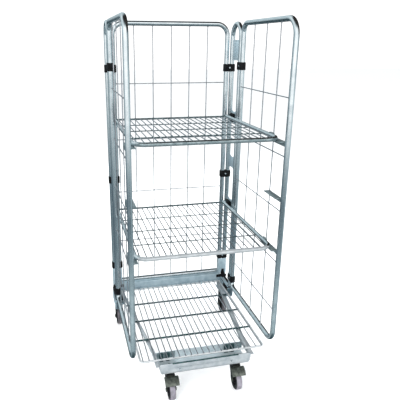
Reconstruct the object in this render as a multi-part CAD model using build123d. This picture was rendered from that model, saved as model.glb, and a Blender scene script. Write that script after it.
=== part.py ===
from build123d import *
import math
import os

# Roll container: a wheeled wire cage with an open front, two lift-up shelves and a lift-up deck.
# Millimetres. +Z is up, -Y is the open front, the origin is on the floor below the middle.

# Cage
tube_dia = 25.0
panel_spacing = 695.0
top_rail_z = 1749.5
post_pitch = 130.0
clip_pitch = 32.0
side_depth = 587.0
swivel_to_back = 718.0

# Side panels
side_bottom_z = 239.0
side_front_bend = 70.0
side_rear_bend = 45.0
side_low_front_bend = 60.0
side_low_rear_bend = 30.0
side_wire_dia = 5.0
side_upright_count = 3
side_row_drop = 317.5
side_row_rise = 177.0
side_row_count = 5

# Back panel
back_bend = 60.0
back_rail_z = 275.0
back_wire_dia = 5.0
back_upright_pitch = 101.0
back_row_drop = 306.5
back_row_rise = 259.0
back_row_count = 4

# Clips that join two tubes
clip_height = 36.0
clip_wall = 2.5
clip_chamfer = 5.0
clip_waist_half = 6.0
clip_waist_depth = 3.0
clip_screw_flats = 8.0
clip_bore_side_count = 8
back_clip_low_z = 381.0
back_clip_mid_z = 913.0
back_clip_drop = 227.5
hinge_clip_rise = 50.0
hinge_clip_drop = 212.5

# Plates between the legs of a post
post_plate_wall = 4.0
top_plate_drop = 133.5
top_plate_height = 106.0
hook_plate_height = 92.0
hook_plate_hollow = 14.0
hook_plate_shoulder = 30.0

# Shelves
lower_shelf_z = 740.0
level_pitch = 257.5
level_count = 3
shelf_tube_dia = 20.0
shelf_side_gap = 5.0
shelf_bend = 55.0
shelf_front_setback = 26.0
shelf_rear_gap = 9.5
shelf_rod_dia = 10.0
shelf_rod_inset = 6.0
shelf_wire_dia = 5.0
shelf_wire_pitch = 30.0
shelf_cross_count = 3
pivot_pin_dia = 10.0
pivot_block_length = 56.0
pivot_block_height = 44.0
pivot_block_gap = 1.0
shelf_hook_length = 32.0
shelf_hook_wall = 3.0
shelf_hook_setback = 80.0

# Angle bars on the side panels that carry the shelves
bar_height = 25.0
bar_wall = 4.0
bar_reach = 31.5

# Base
caster_height = 155.0
sheet_wall = 3.0
front_channel_depth = 110.0
front_channel_height = 48.0
front_channel_half = 225.0
front_channel_corner = 20.0
front_lip = 9.0
front_hole_dia = 9.0
front_hole_half = 130.0
member_width = 20.0
member_height = 22.0
member_rear_half = 300.0
rear_channel_z = 197.0
rear_channel_height = 58.0
foot_width = 40.0
foot_height = 60.0
foot_overhang = 16.0
foot_slot_length = 100.0
foot_slot_height = 24.0
foot_flange_wall = 4.0
foot_flange_width = 60.0
foot_flange_length = 98.0
foot_seat_height = 6.0
foot_seat_inset = 3.0

# Deck
deck_side_gap = 23.0
deck_rod_dia = 10.0
deck_rod_side_count = 8
deck_corner = 20.0
deck_front_inset = 43.0
deck_rear_gap = 12.5
deck_wire_dia = 5.0
deck_wire_pitch = 30.0
deck_wire_lap = 3.0
deck_cross_dia = 8.0
deck_cross_count = 3
deck_eye_half = 195.0
deck_eye_width = 6.0
deck_eye_wall = 4.0

# Casters
wheel_dia = 100.0
tyre_width = 30.0
tyre_shoulder = 4.0
core_dia = 72.0
core_width = 26.0
hub_dia = 30.0
hub_width = 34.0
wheel_side_count = 20
axle_dia = 12.0
axle_head_flats = 18.0
axle_head_height = 5.0
fork_wall = 4.0
fork_top_length = 52.0
fork_foot_radius = 14.0
trail = 35.0
front_wheel_inset = 57.0
swivel_bridge_z = 126.0
swivel_head_dia = 72.0
swivel_neck_dia = 56.0
swivel_flange_height = 7.0
swivel_head_side_count = 12
king_bolt_dia = 14.0
king_nut_flats = 22.0
king_nut_height = 8.0
pedal_pin_dia = 6.0
pedal_pin_reach = 18.0
pedal_pin_z = 114.0
pedal_wall = 3.0
pedal_heel = 6.0
pedal_flat = 8.0
pedal_root_reach = 15.0
pedal_root_rise = 7.5
pedal_tip_reach = 56.0
pedal_tip_drop = 18.0
pedal_width = 70.0
pedal_tongue_width = 30.0
rear_wheel_inset = 28.5
rear_wheel_setback = 28.0
rear_plate_width = 56.0
rear_plate_length = 96.0
rear_plate_wall = 4.0
rear_bolt_flats = 13.0
rear_bolt_height = 5.0
rear_bolt_half_x = 14.0
rear_bolt_half_y = 38.0

# Fits
running_gap = 0.08
seat_gap = 0.3
wide_bend_mitre_count = 3
tight_bend_mitre_count = 2
hole_side_count = 12

# Places worked out from the sizes above
tube_r = tube_dia / 2
panel_x = panel_spacing / 2
back_x = panel_x - clip_pitch
wheel_r = wheel_dia / 2
clip_half_depth = tube_r + clip_wall
clip_half_length = clip_pitch / 2 + clip_half_depth
back_y = (swivel_to_back + trail + wheel_r - clip_half_depth) / 2
post_front_y = back_y - post_pitch
post_mid_y = back_y - post_pitch / 2
hinge_y = post_front_y - clip_pitch
front_y = hinge_y - side_depth
swivel_y = back_y - swivel_to_back
base_top = caster_height + front_channel_height
foot_bottom = caster_height + foot_flange_wall
foot_top = foot_bottom + foot_height
post_foot_z = foot_top + foot_seat_height
foot_outer_x = panel_x + tube_r + clip_wall
foot_inner_x = foot_outer_x - foot_width
rear_channel_top = rear_channel_z + rear_channel_height
front_wheel_half = front_channel_half - front_wheel_inset
rear_wheel_half = foot_outer_x - rear_wheel_inset
rear_wheel_y = post_mid_y + rear_wheel_setback
back_clip_z = (back_clip_low_z, back_clip_mid_z, top_rail_z - back_clip_drop)
hinge_clip_z = (side_bottom_z + hinge_clip_rise, top_rail_z - hinge_clip_drop)
shelf_r = shelf_tube_dia / 2
shelf_x = panel_x - tube_r - shelf_side_gap - shelf_r
shelf_front_y = front_y + shelf_front_setback
shelf_rear_y = back_y - tube_r - shelf_rear_gap
shelf_levels = [lower_shelf_z + i * level_pitch for i in range(level_count)]
upper_shelf_z = shelf_levels[-1]
fork_half = hub_width / 2 + seat_gap


def box(low, high):
    """Block between two opposite corners."""
    size = [b - a for a, b in zip(low, high)]
    middle = [(a + b) / 2 for a, b in zip(low, high)]
    return Pos(*middle) * Box(*size)


def round_bar(start, end, diameter):
    """Round bar between two points."""
    run = Vector(*end) - Vector(*start)
    return Solid.make_cylinder(diameter / 2, run.length, Plane(Vector(*start), z_dir=run))


def wire(start, end, diameter, flats):
    """Six-sided mesh wire between two points, with two of its flats facing the given direction."""
    run = Vector(*end) - Vector(*start)
    section = Plane(Vector(*start), x_dir=run.cross(Vector(*flats)), z_dir=run)
    return extrude(section * RegularPolygon(diameter / 2, 6, major_radius=False), run.length)


def flat_hole(start, end, diameter):
    """Bore with flats that touch a round pin of the given diameter."""
    run = Vector(*end) - Vector(*start)
    outline = RegularPolygon(diameter / 2, hole_side_count, major_radius=False)
    return extrude(Plane(Vector(*start), z_dir=run) * outline, run.length)


def wire_reach(diameter):
    """Half width of a mesh wire across its corners."""
    return diameter / math.sqrt(3)


def bend_setback(x, half, bend, wire_dia):
    """How far a wire at x stops short of a straight rail, where the rail bends into the side."""
    into_bend = max(abs(x) + wire_reach(wire_dia) - half + bend, 0)
    return bend - math.sqrt(bend**2 - into_bend**2)


def hex_head(start, direction, across_flats, height):
    """Hexagon head or nut that stands on a face."""
    return extrude(Plane(start, z_dir=direction) * RegularPolygon(across_flats / 2, 6, major_radius=False), height)


def elbow_path(corners, bends):
    """Centre line of a bent tube: each corner becomes mitred turns on its bend circle."""
    path = [Vector(*corners[0])]
    for before, corner, after, (radius, cuts) in zip(corners, corners[1:], corners[2:], bends):
        corner = Vector(*corner)
        back = (Vector(*before) - corner).normalized()
        ahead = (Vector(*after) - corner).normalized()
        turn = 180 - back.get_angle(ahead)
        reach = radius * math.tan(math.radians(turn / 2))
        centre = corner + (back + ahead).normalized() * (radius / math.cos(math.radians(turn / 2)))
        spoke = corner + back * reach - centre
        axis = Axis((0, 0, 0), spoke.cross(corner + ahead * reach - centre))
        stretch = 1 / math.cos(math.radians(turn / cuts / 2))
        for i in range(cuts):
            path.append(centre + spoke.rotate(axis, turn * (i + 0.5) / cuts) * stretch)
    path.append(Vector(*corners[-1]))
    return path


def bent_tube(corners, diameter, bends):
    """Round tube along straight runs, with a bend radius and a number of mitres at each inner corner."""
    path = Polyline(*elbow_path(corners, bends))
    start = Plane(path @ 0, z_dir=path % 0)
    return sweep(start * Circle(diameter / 2), path=path, transition=Transition.RIGHT)


def pattern(half, pitch, wire_dia):
    """Evenly spaced places of wires about zero, as many as fit between two rails."""
    steps = int((half - wire_reach(wire_dia)) / pitch)
    return [i * pitch for i in range(-steps, steps + 1)]


def rows(count, low, high):
    """Evenly spaced places from a lowest to a highest."""
    return [low + (high - low) * i / (count - 1) for i in range(count)]


def between(count, low, high):
    """Places that split a span into equal bays."""
    return [low + (high - low) * (i + 1) / (count + 1) for i in range(count)]


# Side panel on the right
side_wire_y = between(side_upright_count, hinge_y, front_y)
side_row_z = rows(side_row_count, side_bottom_z + side_row_rise, top_rail_z - side_row_drop)


def side_frame():
    """Closed tube loop of a side panel, joined in the middle of its lower rail."""
    seam = (panel_x, (front_y + hinge_y) / 2, side_bottom_z)
    corners = [
        seam,
        (panel_x, front_y, side_bottom_z),
        (panel_x, front_y, top_rail_z),
        (panel_x, hinge_y, top_rail_z),
        (panel_x, hinge_y, side_bottom_z),
        seam,
    ]
    bends = [
        (side_low_front_bend, wide_bend_mitre_count),
        (side_front_bend, wide_bend_mitre_count),
        (side_rear_bend, tight_bend_mitre_count),
        (side_low_rear_bend, tight_bend_mitre_count),
    ]
    return bent_tube(corners, tube_dia, bends)


def side_mesh():
    """Upright wires in the plane of the tubes and level wires welded to their inner side."""
    low_z = side_bottom_z + tube_r
    high_z = top_rail_z - tube_r
    row_x = panel_x - side_wire_dia
    wires = [
        wire((panel_x, y, low_z), (panel_x, y, high_z), side_wire_dia, (1, 0, 0))
        for y in side_wire_y
    ]
    wires += [
        wire((row_x, front_y + tube_r, z), (row_x, hinge_y - tube_r, z), side_wire_dia, (1, 0, 0))
        for z in side_row_z
    ]
    return wires


def shelf_bars():
    """Angle bars from the front upright to the nearest wire, one at each shelf level."""
    bars = []
    length = side_wire_y[-1] - wire_reach(side_wire_dia) - front_y - tube_r
    for z in shelf_levels:
        top = z - shelf_r - seat_gap
        outer = panel_x + bar_wall / 2
        corner = Plane((outer, front_y + tube_r, top), x_dir=(-1, 0, 0), z_dir=(0, 1, 0))
        reach = bar_reach + bar_wall
        outline = Polyline(
            (0, 0),
            (reach, 0),
            (reach, -bar_wall),
            (bar_wall, -bar_wall),
            (bar_wall, -bar_height),
            (0, -bar_height),
            close=True,
        )
        bars.append(extrude(corner * make_face(outline), length))
    return bars


# Rear post on the right
def rear_post():
    """Inverted U of tube that stands on the foot."""
    corners = [
        (panel_x, post_front_y, post_foot_z),
        (panel_x, post_front_y, top_rail_z),
        (panel_x, back_y, top_rail_z),
        (panel_x, back_y, post_foot_z),
    ]
    return bent_tube(corners, tube_dia, [(post_pitch / 2, wide_bend_mitre_count)] * 2)


def post_plate(middle_z, outline):
    """Plate welded between the legs, with its outline about its middle."""
    section = Plane((panel_x - post_plate_wall / 2, post_mid_y, middle_z), x_dir=(0, 1, 0), z_dir=(1, 0, 0))
    return extrude(section * outline, post_plate_wall)


def top_plate():
    """Plain plate near the top of the post."""
    return post_plate(top_rail_z - top_plate_drop, Rectangle(post_pitch - tube_dia, top_plate_height))


def hook_plates():
    """Plates that carry the shelf pivots, one at each level, drawn in above and below."""
    half = post_pitch / 2 - tube_r
    high = hook_plate_height / 2
    waist = high - hook_plate_hollow
    flat = half - hook_plate_shoulder
    upper = [(half, high), (flat, waist), (-flat, waist), (-half, high)]
    lower = [(y, -z) for y, z in reversed(upper)]
    outline = make_face(Polyline(*upper, *lower, close=True))
    return [post_plate(z, outline) for z in shelf_levels]


def pivot_blocks():
    """Plastic bearings on the plates, one for each shelf."""
    inner = shelf_x + shelf_r + pivot_block_gap
    outer = panel_x - post_plate_wall / 2
    half_y = pivot_block_length / 2
    half_z = pivot_block_height / 2
    blocks = []
    for z in (lower_shelf_z, upper_shelf_z):
        block = box((inner, post_mid_y - half_y, z - half_z), (outer, post_mid_y + half_y, z + half_z))
        hole_dia = pivot_pin_dia + 2 * running_gap
        bore = flat_hole((inner, post_mid_y, z), (outer, post_mid_y, z), hole_dia)
        blocks.append(block - bore)
    return blocks


# Back panel
def back_frame():
    """Inverted U on the rear channel, with a rail welded across its foot."""
    corners = [
        (-back_x, back_y, rear_channel_top),
        (-back_x, back_y, top_rail_z),
        (back_x, back_y, top_rail_z),
        (back_x, back_y, rear_channel_top),
    ]
    rail = round_bar((-back_x, back_y, back_rail_z), (back_x, back_y, back_rail_z), tube_dia)
    return bent_tube(corners, tube_dia, [(back_bend, wide_bend_mitre_count)] * 2) + rail


def back_mesh():
    """Upright wires in the plane of the tubes and level wires in front of them."""
    low_z = back_rail_z + tube_r
    high_z = top_rail_z - tube_r
    row_y = back_y - back_wire_dia
    half = back_x - tube_r
    wires = [
        wire((x, back_y, low_z), (x, back_y, high_z), back_wire_dia, (0, 1, 0))
        for x in pattern(half, back_upright_pitch, back_wire_dia)
    ]
    for z in rows(back_row_count, back_rail_z + back_row_rise, top_rail_z - back_row_drop):
        wires.append(wire((-half, row_y, z), (half, row_y, z), back_wire_dia, (0, 1, 0)))
    return wires


# Clips
def clip(middle, along, hinged):
    """Moulded block round two tubes; the second bore runs free where the clip is a hinge."""
    length = clip_half_length
    depth = clip_half_depth
    waist = depth - clip_waist_depth
    ramp = clip_waist_half + clip_waist_depth
    upper = [
        (length, depth - clip_chamfer),
        (length - clip_chamfer, depth),
        (ramp, depth),
        (clip_waist_half, waist),
        (-clip_waist_half, waist),
        (-ramp, depth),
        (clip_chamfer - length, depth),
        (-length, depth - clip_chamfer),
    ]
    lower = [(u, -v) for u, v in reversed(upper)]
    low = Vector(*middle) - Vector(0, 0, clip_height / 2)
    section = Plane(low, x_dir=along, z_dir=(0, 0, 1))
    block = extrude(section * make_face(Polyline(*upper, *lower, close=True)), clip_height)
    jaw = RegularPolygon(tube_r, clip_bore_side_count, major_radius=False)
    bearing = RegularPolygon(tube_r + running_gap, hole_side_count, major_radius=False) if hinged else jaw
    half = clip_pitch / 2
    bores = section * (Pos(-half, 0) * jaw + Pos(half, 0) * bearing)
    return block - extrude(bores, clip_height)


back_clip_x = panel_x - clip_pitch / 2
hinge_clip_y = post_front_y - clip_pitch / 2


def back_clips():
    """Clips between the post and the back panel."""
    return [clip((back_clip_x, back_y, z), (-1, 0, 0), False) for z in back_clip_z]


def hinge_clips():
    """Clips between the post and the side panel, which turns in them."""
    return [clip((panel_x, hinge_clip_y, z), (0, -1, 0), True) for z in hinge_clip_z]


def clip_screws():
    """Screw heads in the waists of the clips of one side."""
    waist = clip_half_depth - clip_waist_depth
    heads = [
        hex_head((back_clip_x, back_y - waist, z), (0, -1, 0), clip_screw_flats, clip_waist_depth)
        for z in back_clip_z
    ]
    heads += [
        hex_head((panel_x - waist, hinge_clip_y, z), (-1, 0, 0), clip_screw_flats, clip_waist_depth)
        for z in hinge_clip_z
    ]
    return heads


# Shelves
shelf_rod_y = shelf_rear_y - shelf_rod_inset


def shelf_frame(z):
    """U of tube, open at the back, with a rod across its rear ends."""
    corners = [
        (-shelf_x, shelf_rear_y, z),
        (-shelf_x, shelf_front_y, z),
        (shelf_x, shelf_front_y, z),
        (shelf_x, shelf_rear_y, z),
    ]
    half = shelf_x - shelf_r
    rod = wire((-half, shelf_rod_y, z), (half, shelf_rod_y, z), shelf_rod_dia, (0, 1, 0))
    return [bent_tube(corners, shelf_tube_dia, [(shelf_bend, tight_bend_mitre_count)] * 2), rod]


def shelf_mesh(z):
    """Wires from front to back, on cross wires between the side tubes."""
    wires = []
    front = shelf_front_y + shelf_r
    rear = shelf_rod_y - shelf_rod_dia / 2
    inner = shelf_x - shelf_r
    for x in pattern(inner, shelf_wire_pitch, shelf_wire_dia):
        setback = bend_setback(x, inner, shelf_bend - shelf_r, shelf_wire_dia)
        wires.append(wire((x, front + setback, z), (x, rear, z), shelf_wire_dia, (0, 0, 1)))
    half = shelf_x - math.sqrt(shelf_r**2 - (shelf_wire_dia / 2) ** 2)
    for y in between(shelf_cross_count, shelf_front_y, shelf_rod_y):
        wires.append(
            wire((-half, y, z - shelf_wire_dia), (half, y, z - shelf_wire_dia), shelf_wire_dia, (0, 0, 1))
        )
    return wires


def shelf_pins(z):
    """Pivot pins on the outer sides of the tubes."""
    root = shelf_x + shelf_r
    tip = panel_x - post_plate_wall / 2 - pivot_block_gap
    return [
        round_bar((side * root, post_mid_y, z), (side * tip, post_mid_y, z), pivot_pin_dia)
        for side in (-1, 1)
    ]


def shelf_hooks(z):
    """Folded plates over the side tubes that rest on the angle bars."""
    hooks = []
    low_y = shelf_front_y + shelf_hook_setback
    high_y = low_y + shelf_hook_length
    outer = shelf_x + shelf_r + shelf_hook_wall
    top = z + shelf_r + shelf_hook_wall
    web = box((outer - shelf_hook_wall, low_y, z - shelf_r), (outer, high_y, top))
    lid = box((shelf_x, low_y, top - shelf_hook_wall), (outer, high_y, top))
    hook = web + lid
    hooks.append(hook)
    hooks.append(mirror(hook, about=Plane.YZ))
    return hooks


# Base
def front_channel():
    """Sheet channel, open at the top, with a higher front wall, rounded lower ends and two holes in its face."""
    half_depth = front_channel_depth / 2
    lip_top = base_top + front_lip
    height = lip_top - caster_height
    face = Plane((0, swivel_y - half_depth, caster_height), x_dir=(1, 0, 0), z_dir=(0, 1, 0))
    outline = face * Pos(0, -height / 2) * Rectangle(2 * front_channel_half, height)
    low_corners = outline.vertices().sort_by(Axis.Z)[:2]
    body = extrude(fillet(low_corners, front_channel_corner), front_channel_depth)
    body -= box(
        (-front_channel_half, swivel_y - half_depth + sheet_wall, caster_height + sheet_wall),
        (front_channel_half, swivel_y + half_depth - sheet_wall, lip_top),
    )
    body -= box(
        (-front_channel_half, swivel_y + half_depth - sheet_wall, base_top),
        (front_channel_half, swivel_y + half_depth, lip_top),
    )
    mid_z = caster_height + front_channel_height / 2
    for side in (-1, 1):
        x = side * front_hole_half
        wall_y = swivel_y - half_depth
        body -= flat_hole((x, wall_y, mid_z), (x, wall_y + sheet_wall, mid_z), front_hole_dia)
        x = side * front_wheel_half
        hole_dia = king_bolt_dia + 2 * running_gap
        body -= flat_hole((x, swivel_y, caster_height), (x, swivel_y, caster_height + sheet_wall), hole_dia)
    return body


def rear_channel():
    """Sheet channel below the back panel, open to the back."""
    low_y = back_y - tube_r
    high_y = back_y + tube_r
    body = box((-foot_inner_x, low_y, rear_channel_z), (foot_inner_x, high_y, rear_channel_top))
    inside = box(
        (-foot_inner_x, low_y + sheet_wall, rear_channel_z + sheet_wall),
        (foot_inner_x, high_y, rear_channel_top - sheet_wall),
    )
    return body - inside


def side_member():
    """Angle that runs along the end of the front channel and then spreads to the rear channel."""
    spine = [
        (front_channel_half, swivel_y - front_channel_depth / 2),
        (front_channel_half, swivel_y + front_channel_depth / 2),
        (member_rear_half, back_y - tube_r),
    ]

    def strip(width, low_z):
        """Run of sheet that follows the spine, up to the top of the base."""
        outline = spine + [(x + width, y) for x, y in reversed(spine)]
        return extrude(Plane((0, 0, low_z)) * make_face(Polyline(*outline, close=True)), base_top - low_z)

    return strip(sheet_wall, base_top - member_height) + strip(member_width, base_top - sheet_wall)


def foot_bracket():
    """Box section with a slot in its inner wall, on a flange for the rear caster."""
    low_y = post_front_y - foot_overhang
    high_y = back_y + tube_r
    body = box((foot_inner_x, low_y, foot_bottom), (foot_outer_x, high_y, foot_top))
    body -= box(
        (foot_inner_x + sheet_wall, low_y, foot_bottom + sheet_wall),
        (foot_outer_x - sheet_wall, high_y, foot_top - sheet_wall),
    )
    slot_z = (foot_bottom + foot_top) / 2
    slot_half = foot_slot_length / 2
    body -= box(
        (foot_inner_x, post_mid_y - slot_half, slot_z - foot_slot_height / 2),
        (foot_inner_x + sheet_wall, post_mid_y + slot_half, slot_z + foot_slot_height / 2),
    )
    half_length = foot_flange_length / 2
    flange = box(
        (foot_outer_x - foot_flange_width, rear_wheel_y - half_length, caster_height),
        (foot_outer_x, rear_wheel_y + half_length, foot_bottom),
    )
    return body + flange


def foot_seat():
    """Plastic pad between the post and its foot."""
    return box(
        (foot_inner_x + foot_seat_inset, post_front_y - foot_overhang, foot_top),
        (foot_outer_x, back_y + tube_r, post_foot_z),
    )


# Deck
deck_rod_r = deck_rod_dia / 2
deck_half = panel_x - tube_r - deck_side_gap
deck_z = base_top + seat_gap + deck_rod_r
deck_front_y = swivel_y - front_channel_depth / 2 + deck_front_inset
deck_rear_y = back_y - tube_r - deck_rear_gap


def deck_frame():
    """Flat-sided rod bent to a U, and the round rear rod on which the deck turns."""
    corners = [
        (-deck_half, deck_rear_y, deck_z),
        (-deck_half, deck_front_y, deck_z),
        (deck_half, deck_front_y, deck_z),
        (deck_half, deck_rear_y, deck_z),
    ]
    path = Polyline(*elbow_path(corners, [(deck_corner, tight_bend_mitre_count)] * 2))
    start = Plane(path @ 0, x_dir=(0, 0, 1), z_dir=path % 0)
    outline = Rot(0, 0, 180 / deck_rod_side_count) * RegularPolygon(deck_rod_r, deck_rod_side_count, major_radius=False)
    loop = sweep(start * outline, path=path, transition=Transition.RIGHT)
    half = deck_half + deck_rod_r
    return loop + round_bar((-half, deck_rear_y, deck_z), (half, deck_rear_y, deck_z), deck_rod_dia)


def deck_mesh():
    """Wires from front to back on top of the rods, with thicker cross wires below them."""
    wire_z = deck_z + deck_rod_r + deck_wire_dia / 2
    cross_z = deck_z + deck_rod_r - deck_cross_dia / 2
    front = deck_front_y - deck_wire_lap
    rear = deck_rear_y + deck_wire_lap
    half = deck_half - deck_rod_r
    wires = [
        wire((x, front, wire_z), (x, rear, wire_z), deck_wire_dia, (0, 0, 1))
        for x in pattern(half, deck_wire_pitch, deck_wire_dia)
    ]
    wires += [
        wire((-half, y, cross_z), (half, y, cross_z), deck_cross_dia, (0, 0, 1))
        for y in between(deck_cross_count, deck_front_y, deck_rear_y)
    ]
    return wires


def deck_eyes():
    """Eyes on the rear channel in which the rear rod of the deck turns."""
    eyes = []
    outer = deck_rod_r + running_gap + deck_eye_wall
    web_y = back_y - tube_r
    for side in (-1, 1):
        section = Plane(
            (side * deck_eye_half - deck_eye_width / 2, deck_rear_y, deck_z), x_dir=(0, 1, 0), z_dir=(1, 0, 0)
        )
        tail = Pos((web_y - deck_rear_y) / 2, 0) * Rectangle(web_y - deck_rear_y, 2 * deck_eye_wall)
        bore = RegularPolygon(deck_rod_r + running_gap, hole_side_count, major_radius=False)
        outline = RegularPolygon(outer, hole_side_count) + tail - bore
        eyes.append(extrude(section * outline, deck_eye_width))
    return eyes


# Casters
def wheel_section(x, y):
    """Plane across a wheel, with its normal along the axle."""
    return Plane((x, y, wheel_r), x_dir=(0, 0, 1), z_dir=(1, 0, 0))


def facet_disc(section, diameter, width, sides):
    """Many-sided disc centred on a plane, with a flat facing along the plane's x direction."""
    outline = Rot(0, 0, 180 / sides) * RegularPolygon(diameter / 2, sides, major_radius=False)
    return extrude(section * outline, width / 2, both=True)


def tyre(x, y):
    """Solid rubber tyre with bevelled shoulders."""
    section = wheel_section(x, y)
    body = facet_disc(section, wheel_dia, tyre_width, wheel_side_count)
    body = chamfer(body.faces().filter_by(Axis.X).edges(), tyre_shoulder)
    return body - facet_disc(section, core_dia, tyre_width, wheel_side_count)


def wheel_core(x, y):
    """Plastic wheel centre: a rim disc with a hub through it."""
    section = wheel_section(x, y)
    body = facet_disc(section, core_dia, core_width, wheel_side_count)
    body += facet_disc(section, hub_dia, hub_width, wheel_side_count // 2)
    half = hub_width / 2
    bore = flat_hole((x - half, y, wheel_r), (x + half, y, wheel_r), axle_dia + 2 * running_gap)
    return body - bore


def axle(x, y):
    """Bolt through fork and wheel, with a hexagon at both ends."""
    half = fork_half + fork_wall
    body = round_bar((x - half, y, wheel_r), (x + half, y, wheel_r), axle_dia)
    for side in (-1, 1):
        start = (x + side * half, y, wheel_r)
        body += hex_head(start, (side, 0, 0), axle_head_flats, axle_head_height)
    return body


def fork(x, y, wheel_y, top_z, top_wall):
    """Bent sheet fork: two legs that narrow from the top plate to a round foot at the axle."""
    half_top = fork_top_length / 2
    legs = []
    for start in (fork_half, -fork_half - fork_wall):
        section = Plane((x + start, y, 0), x_dir=(0, 1, 0), z_dir=(1, 0, 0))
        edges = Line((-half_top, top_z), (half_top, top_z)).edges()
        edges += (Pos(wheel_y - y, wheel_r) * RegularPolygon(fork_foot_radius, hole_side_count)).edges()
        legs.append(extrude(section * make_hull(edges), fork_wall))
    half = fork_half + fork_wall
    bridge = box((x - half, y - half_top, top_z - top_wall), (x + half, y + half_top, top_z))
    hole_dia = axle_dia + 2 * running_gap
    hole = flat_hole((x - half, wheel_y, wheel_r), (x + half, wheel_y, wheel_r), hole_dia)
    return legs[0] + legs[1] + bridge - hole


front_wheel_y = swivel_y - trail
swivel_bridge_top = swivel_bridge_z + fork_wall
pedal_pin_y = swivel_y - pedal_pin_reach


def front_fork(x):
    """Swivel fork, bored for the king bolt and for the pin of the brake pedal."""
    hole_dia = king_bolt_dia + 2 * running_gap
    bore = flat_hole((x, swivel_y, swivel_bridge_z), (x, swivel_y, swivel_bridge_top), hole_dia)
    half = fork_half + fork_wall
    pin_hole_dia = pedal_pin_dia + 2 * running_gap
    pin_hole = flat_hole((x - half, pedal_pin_y, pedal_pin_z), (x + half, pedal_pin_y, pedal_pin_z), pin_hole_dia)
    return fork(x, swivel_y, front_wheel_y, swivel_bridge_top, fork_wall) - bore - pin_hole


def brake_pedal(x):
    """Brake pedal on a pin through the fork: a tongue between the legs and a wide tread in front of the wheel."""
    flat_z = pedal_pin_z - pedal_wall / 2
    heel = (pedal_pin_y + pedal_heel, flat_z)
    bend = (pedal_pin_y - pedal_flat, flat_z)
    root = (pedal_pin_y - pedal_root_reach, flat_z + pedal_root_rise)
    tip = (pedal_pin_y - pedal_tip_reach, flat_z - pedal_tip_drop)

    def strip(line, width):
        """Sheet that follows a line, seen from the side."""
        outline = line + [(y, z + pedal_wall) for y, z in reversed(line)]
        section = Plane((x - width / 2, 0, 0), x_dir=(0, 1, 0), z_dir=(1, 0, 0))
        return extrude(section * make_face(Polyline(*outline, close=True)), width)

    half = fork_half + fork_wall
    pin = round_bar((x - half, pedal_pin_y, pedal_pin_z), (x + half, pedal_pin_y, pedal_pin_z), pedal_pin_dia)
    return strip([heel, bend, root], pedal_tongue_width) + strip([root, tip], pedal_width) + pin


def swivel_head(x):
    """Bearing head between the front channel and the fork: a flange on a narrower neck."""
    flange_z = caster_height - swivel_flange_height
    low_z = swivel_bridge_top + seat_gap
    neck = Plane((x, swivel_y, low_z)) * RegularPolygon(swivel_neck_dia / 2, swivel_head_side_count)
    flange = Plane((x, swivel_y, flange_z)) * RegularPolygon(swivel_head_dia / 2, swivel_head_side_count)
    body = extrude(neck, flange_z - low_z) + extrude(flange, swivel_flange_height)
    hole_dia = king_bolt_dia + 2 * running_gap
    return body - flat_hole((x, swivel_y, low_z), (x, swivel_y, caster_height), hole_dia)


def king_bolt(x):
    """Bolt that holds the fork to the channel, with a nut above and a head below."""
    low_z = swivel_bridge_z - seat_gap
    high_z = caster_height + sheet_wall
    body = round_bar((x, swivel_y, low_z), (x, swivel_y, high_z), king_bolt_dia)
    body += hex_head((x, swivel_y, high_z), (0, 0, 1), king_nut_flats, king_nut_height)
    return body + hex_head((x, swivel_y, low_z), (0, 0, -1), king_nut_flats, king_nut_height)


def rear_fork(x):
    """Fixed fork with its bolting plate."""
    half_x = rear_plate_width / 2
    half_y = rear_plate_length / 2
    plate = box(
        (x - half_x, rear_wheel_y - half_y, caster_height - rear_plate_wall),
        (x + half_x, rear_wheel_y + half_y, caster_height),
    )
    return fork(x, rear_wheel_y, rear_wheel_y, caster_height, rear_plate_wall) + plate


def rear_bolts(x):
    """Bolt heads below the plate of a fixed caster."""
    low_z = caster_height - rear_plate_wall
    return [
        hex_head((x + i * rear_bolt_half_x, rear_wheel_y + j * rear_bolt_half_y, low_z), (0, 0, -1),
                 rear_bolt_flats, rear_bolt_height)
        for i in (-1, 1)
        for j in (-1, 1)
    ]


# Assembly: every node with its solids
nodes = {
    "base_front_channel": [front_channel()],
    "base_rear_channel": [rear_channel()],
    "back_panel_frame": [back_frame()],
    "back_panel_mesh": back_mesh(),
    "deck_frame": [deck_frame()],
    "deck_mesh": deck_mesh(),
    "deck_hinge_eyes": deck_eyes(),
}

right_side = {
    "base_side_member": [side_member()],
    "foot_bracket": [foot_bracket()],
    "foot_seat": [foot_seat()],
    "rear_post": [rear_post()],
    "post_top_plate": [top_plate()],
    "shelf_hook_plates": hook_plates(),
    "shelf_pivot_blocks": pivot_blocks(),
    "back_clips": back_clips(),
    "hinge_clips": hinge_clips(),
    "clip_screws": clip_screws(),
    "side_panel_frame": [side_frame()],
    "side_panel_mesh": side_mesh(),
    "side_panel_shelf_bars": shelf_bars(),
}
for name, solids in right_side.items():
    nodes[name + "_right"] = solids
    nodes[name + "_left"] = [mirror(solid, about=Plane.YZ) for solid in solids]

for name, z in (("upper", upper_shelf_z), ("lower", lower_shelf_z)):
    nodes[name + "_shelf_frame"] = shelf_frame(z)
    nodes[name + "_shelf_mesh"] = shelf_mesh(z)
    nodes[name + "_shelf_pivot_pins"] = shelf_pins(z)
    nodes[name + "_shelf_hooks"] = shelf_hooks(z)

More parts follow.
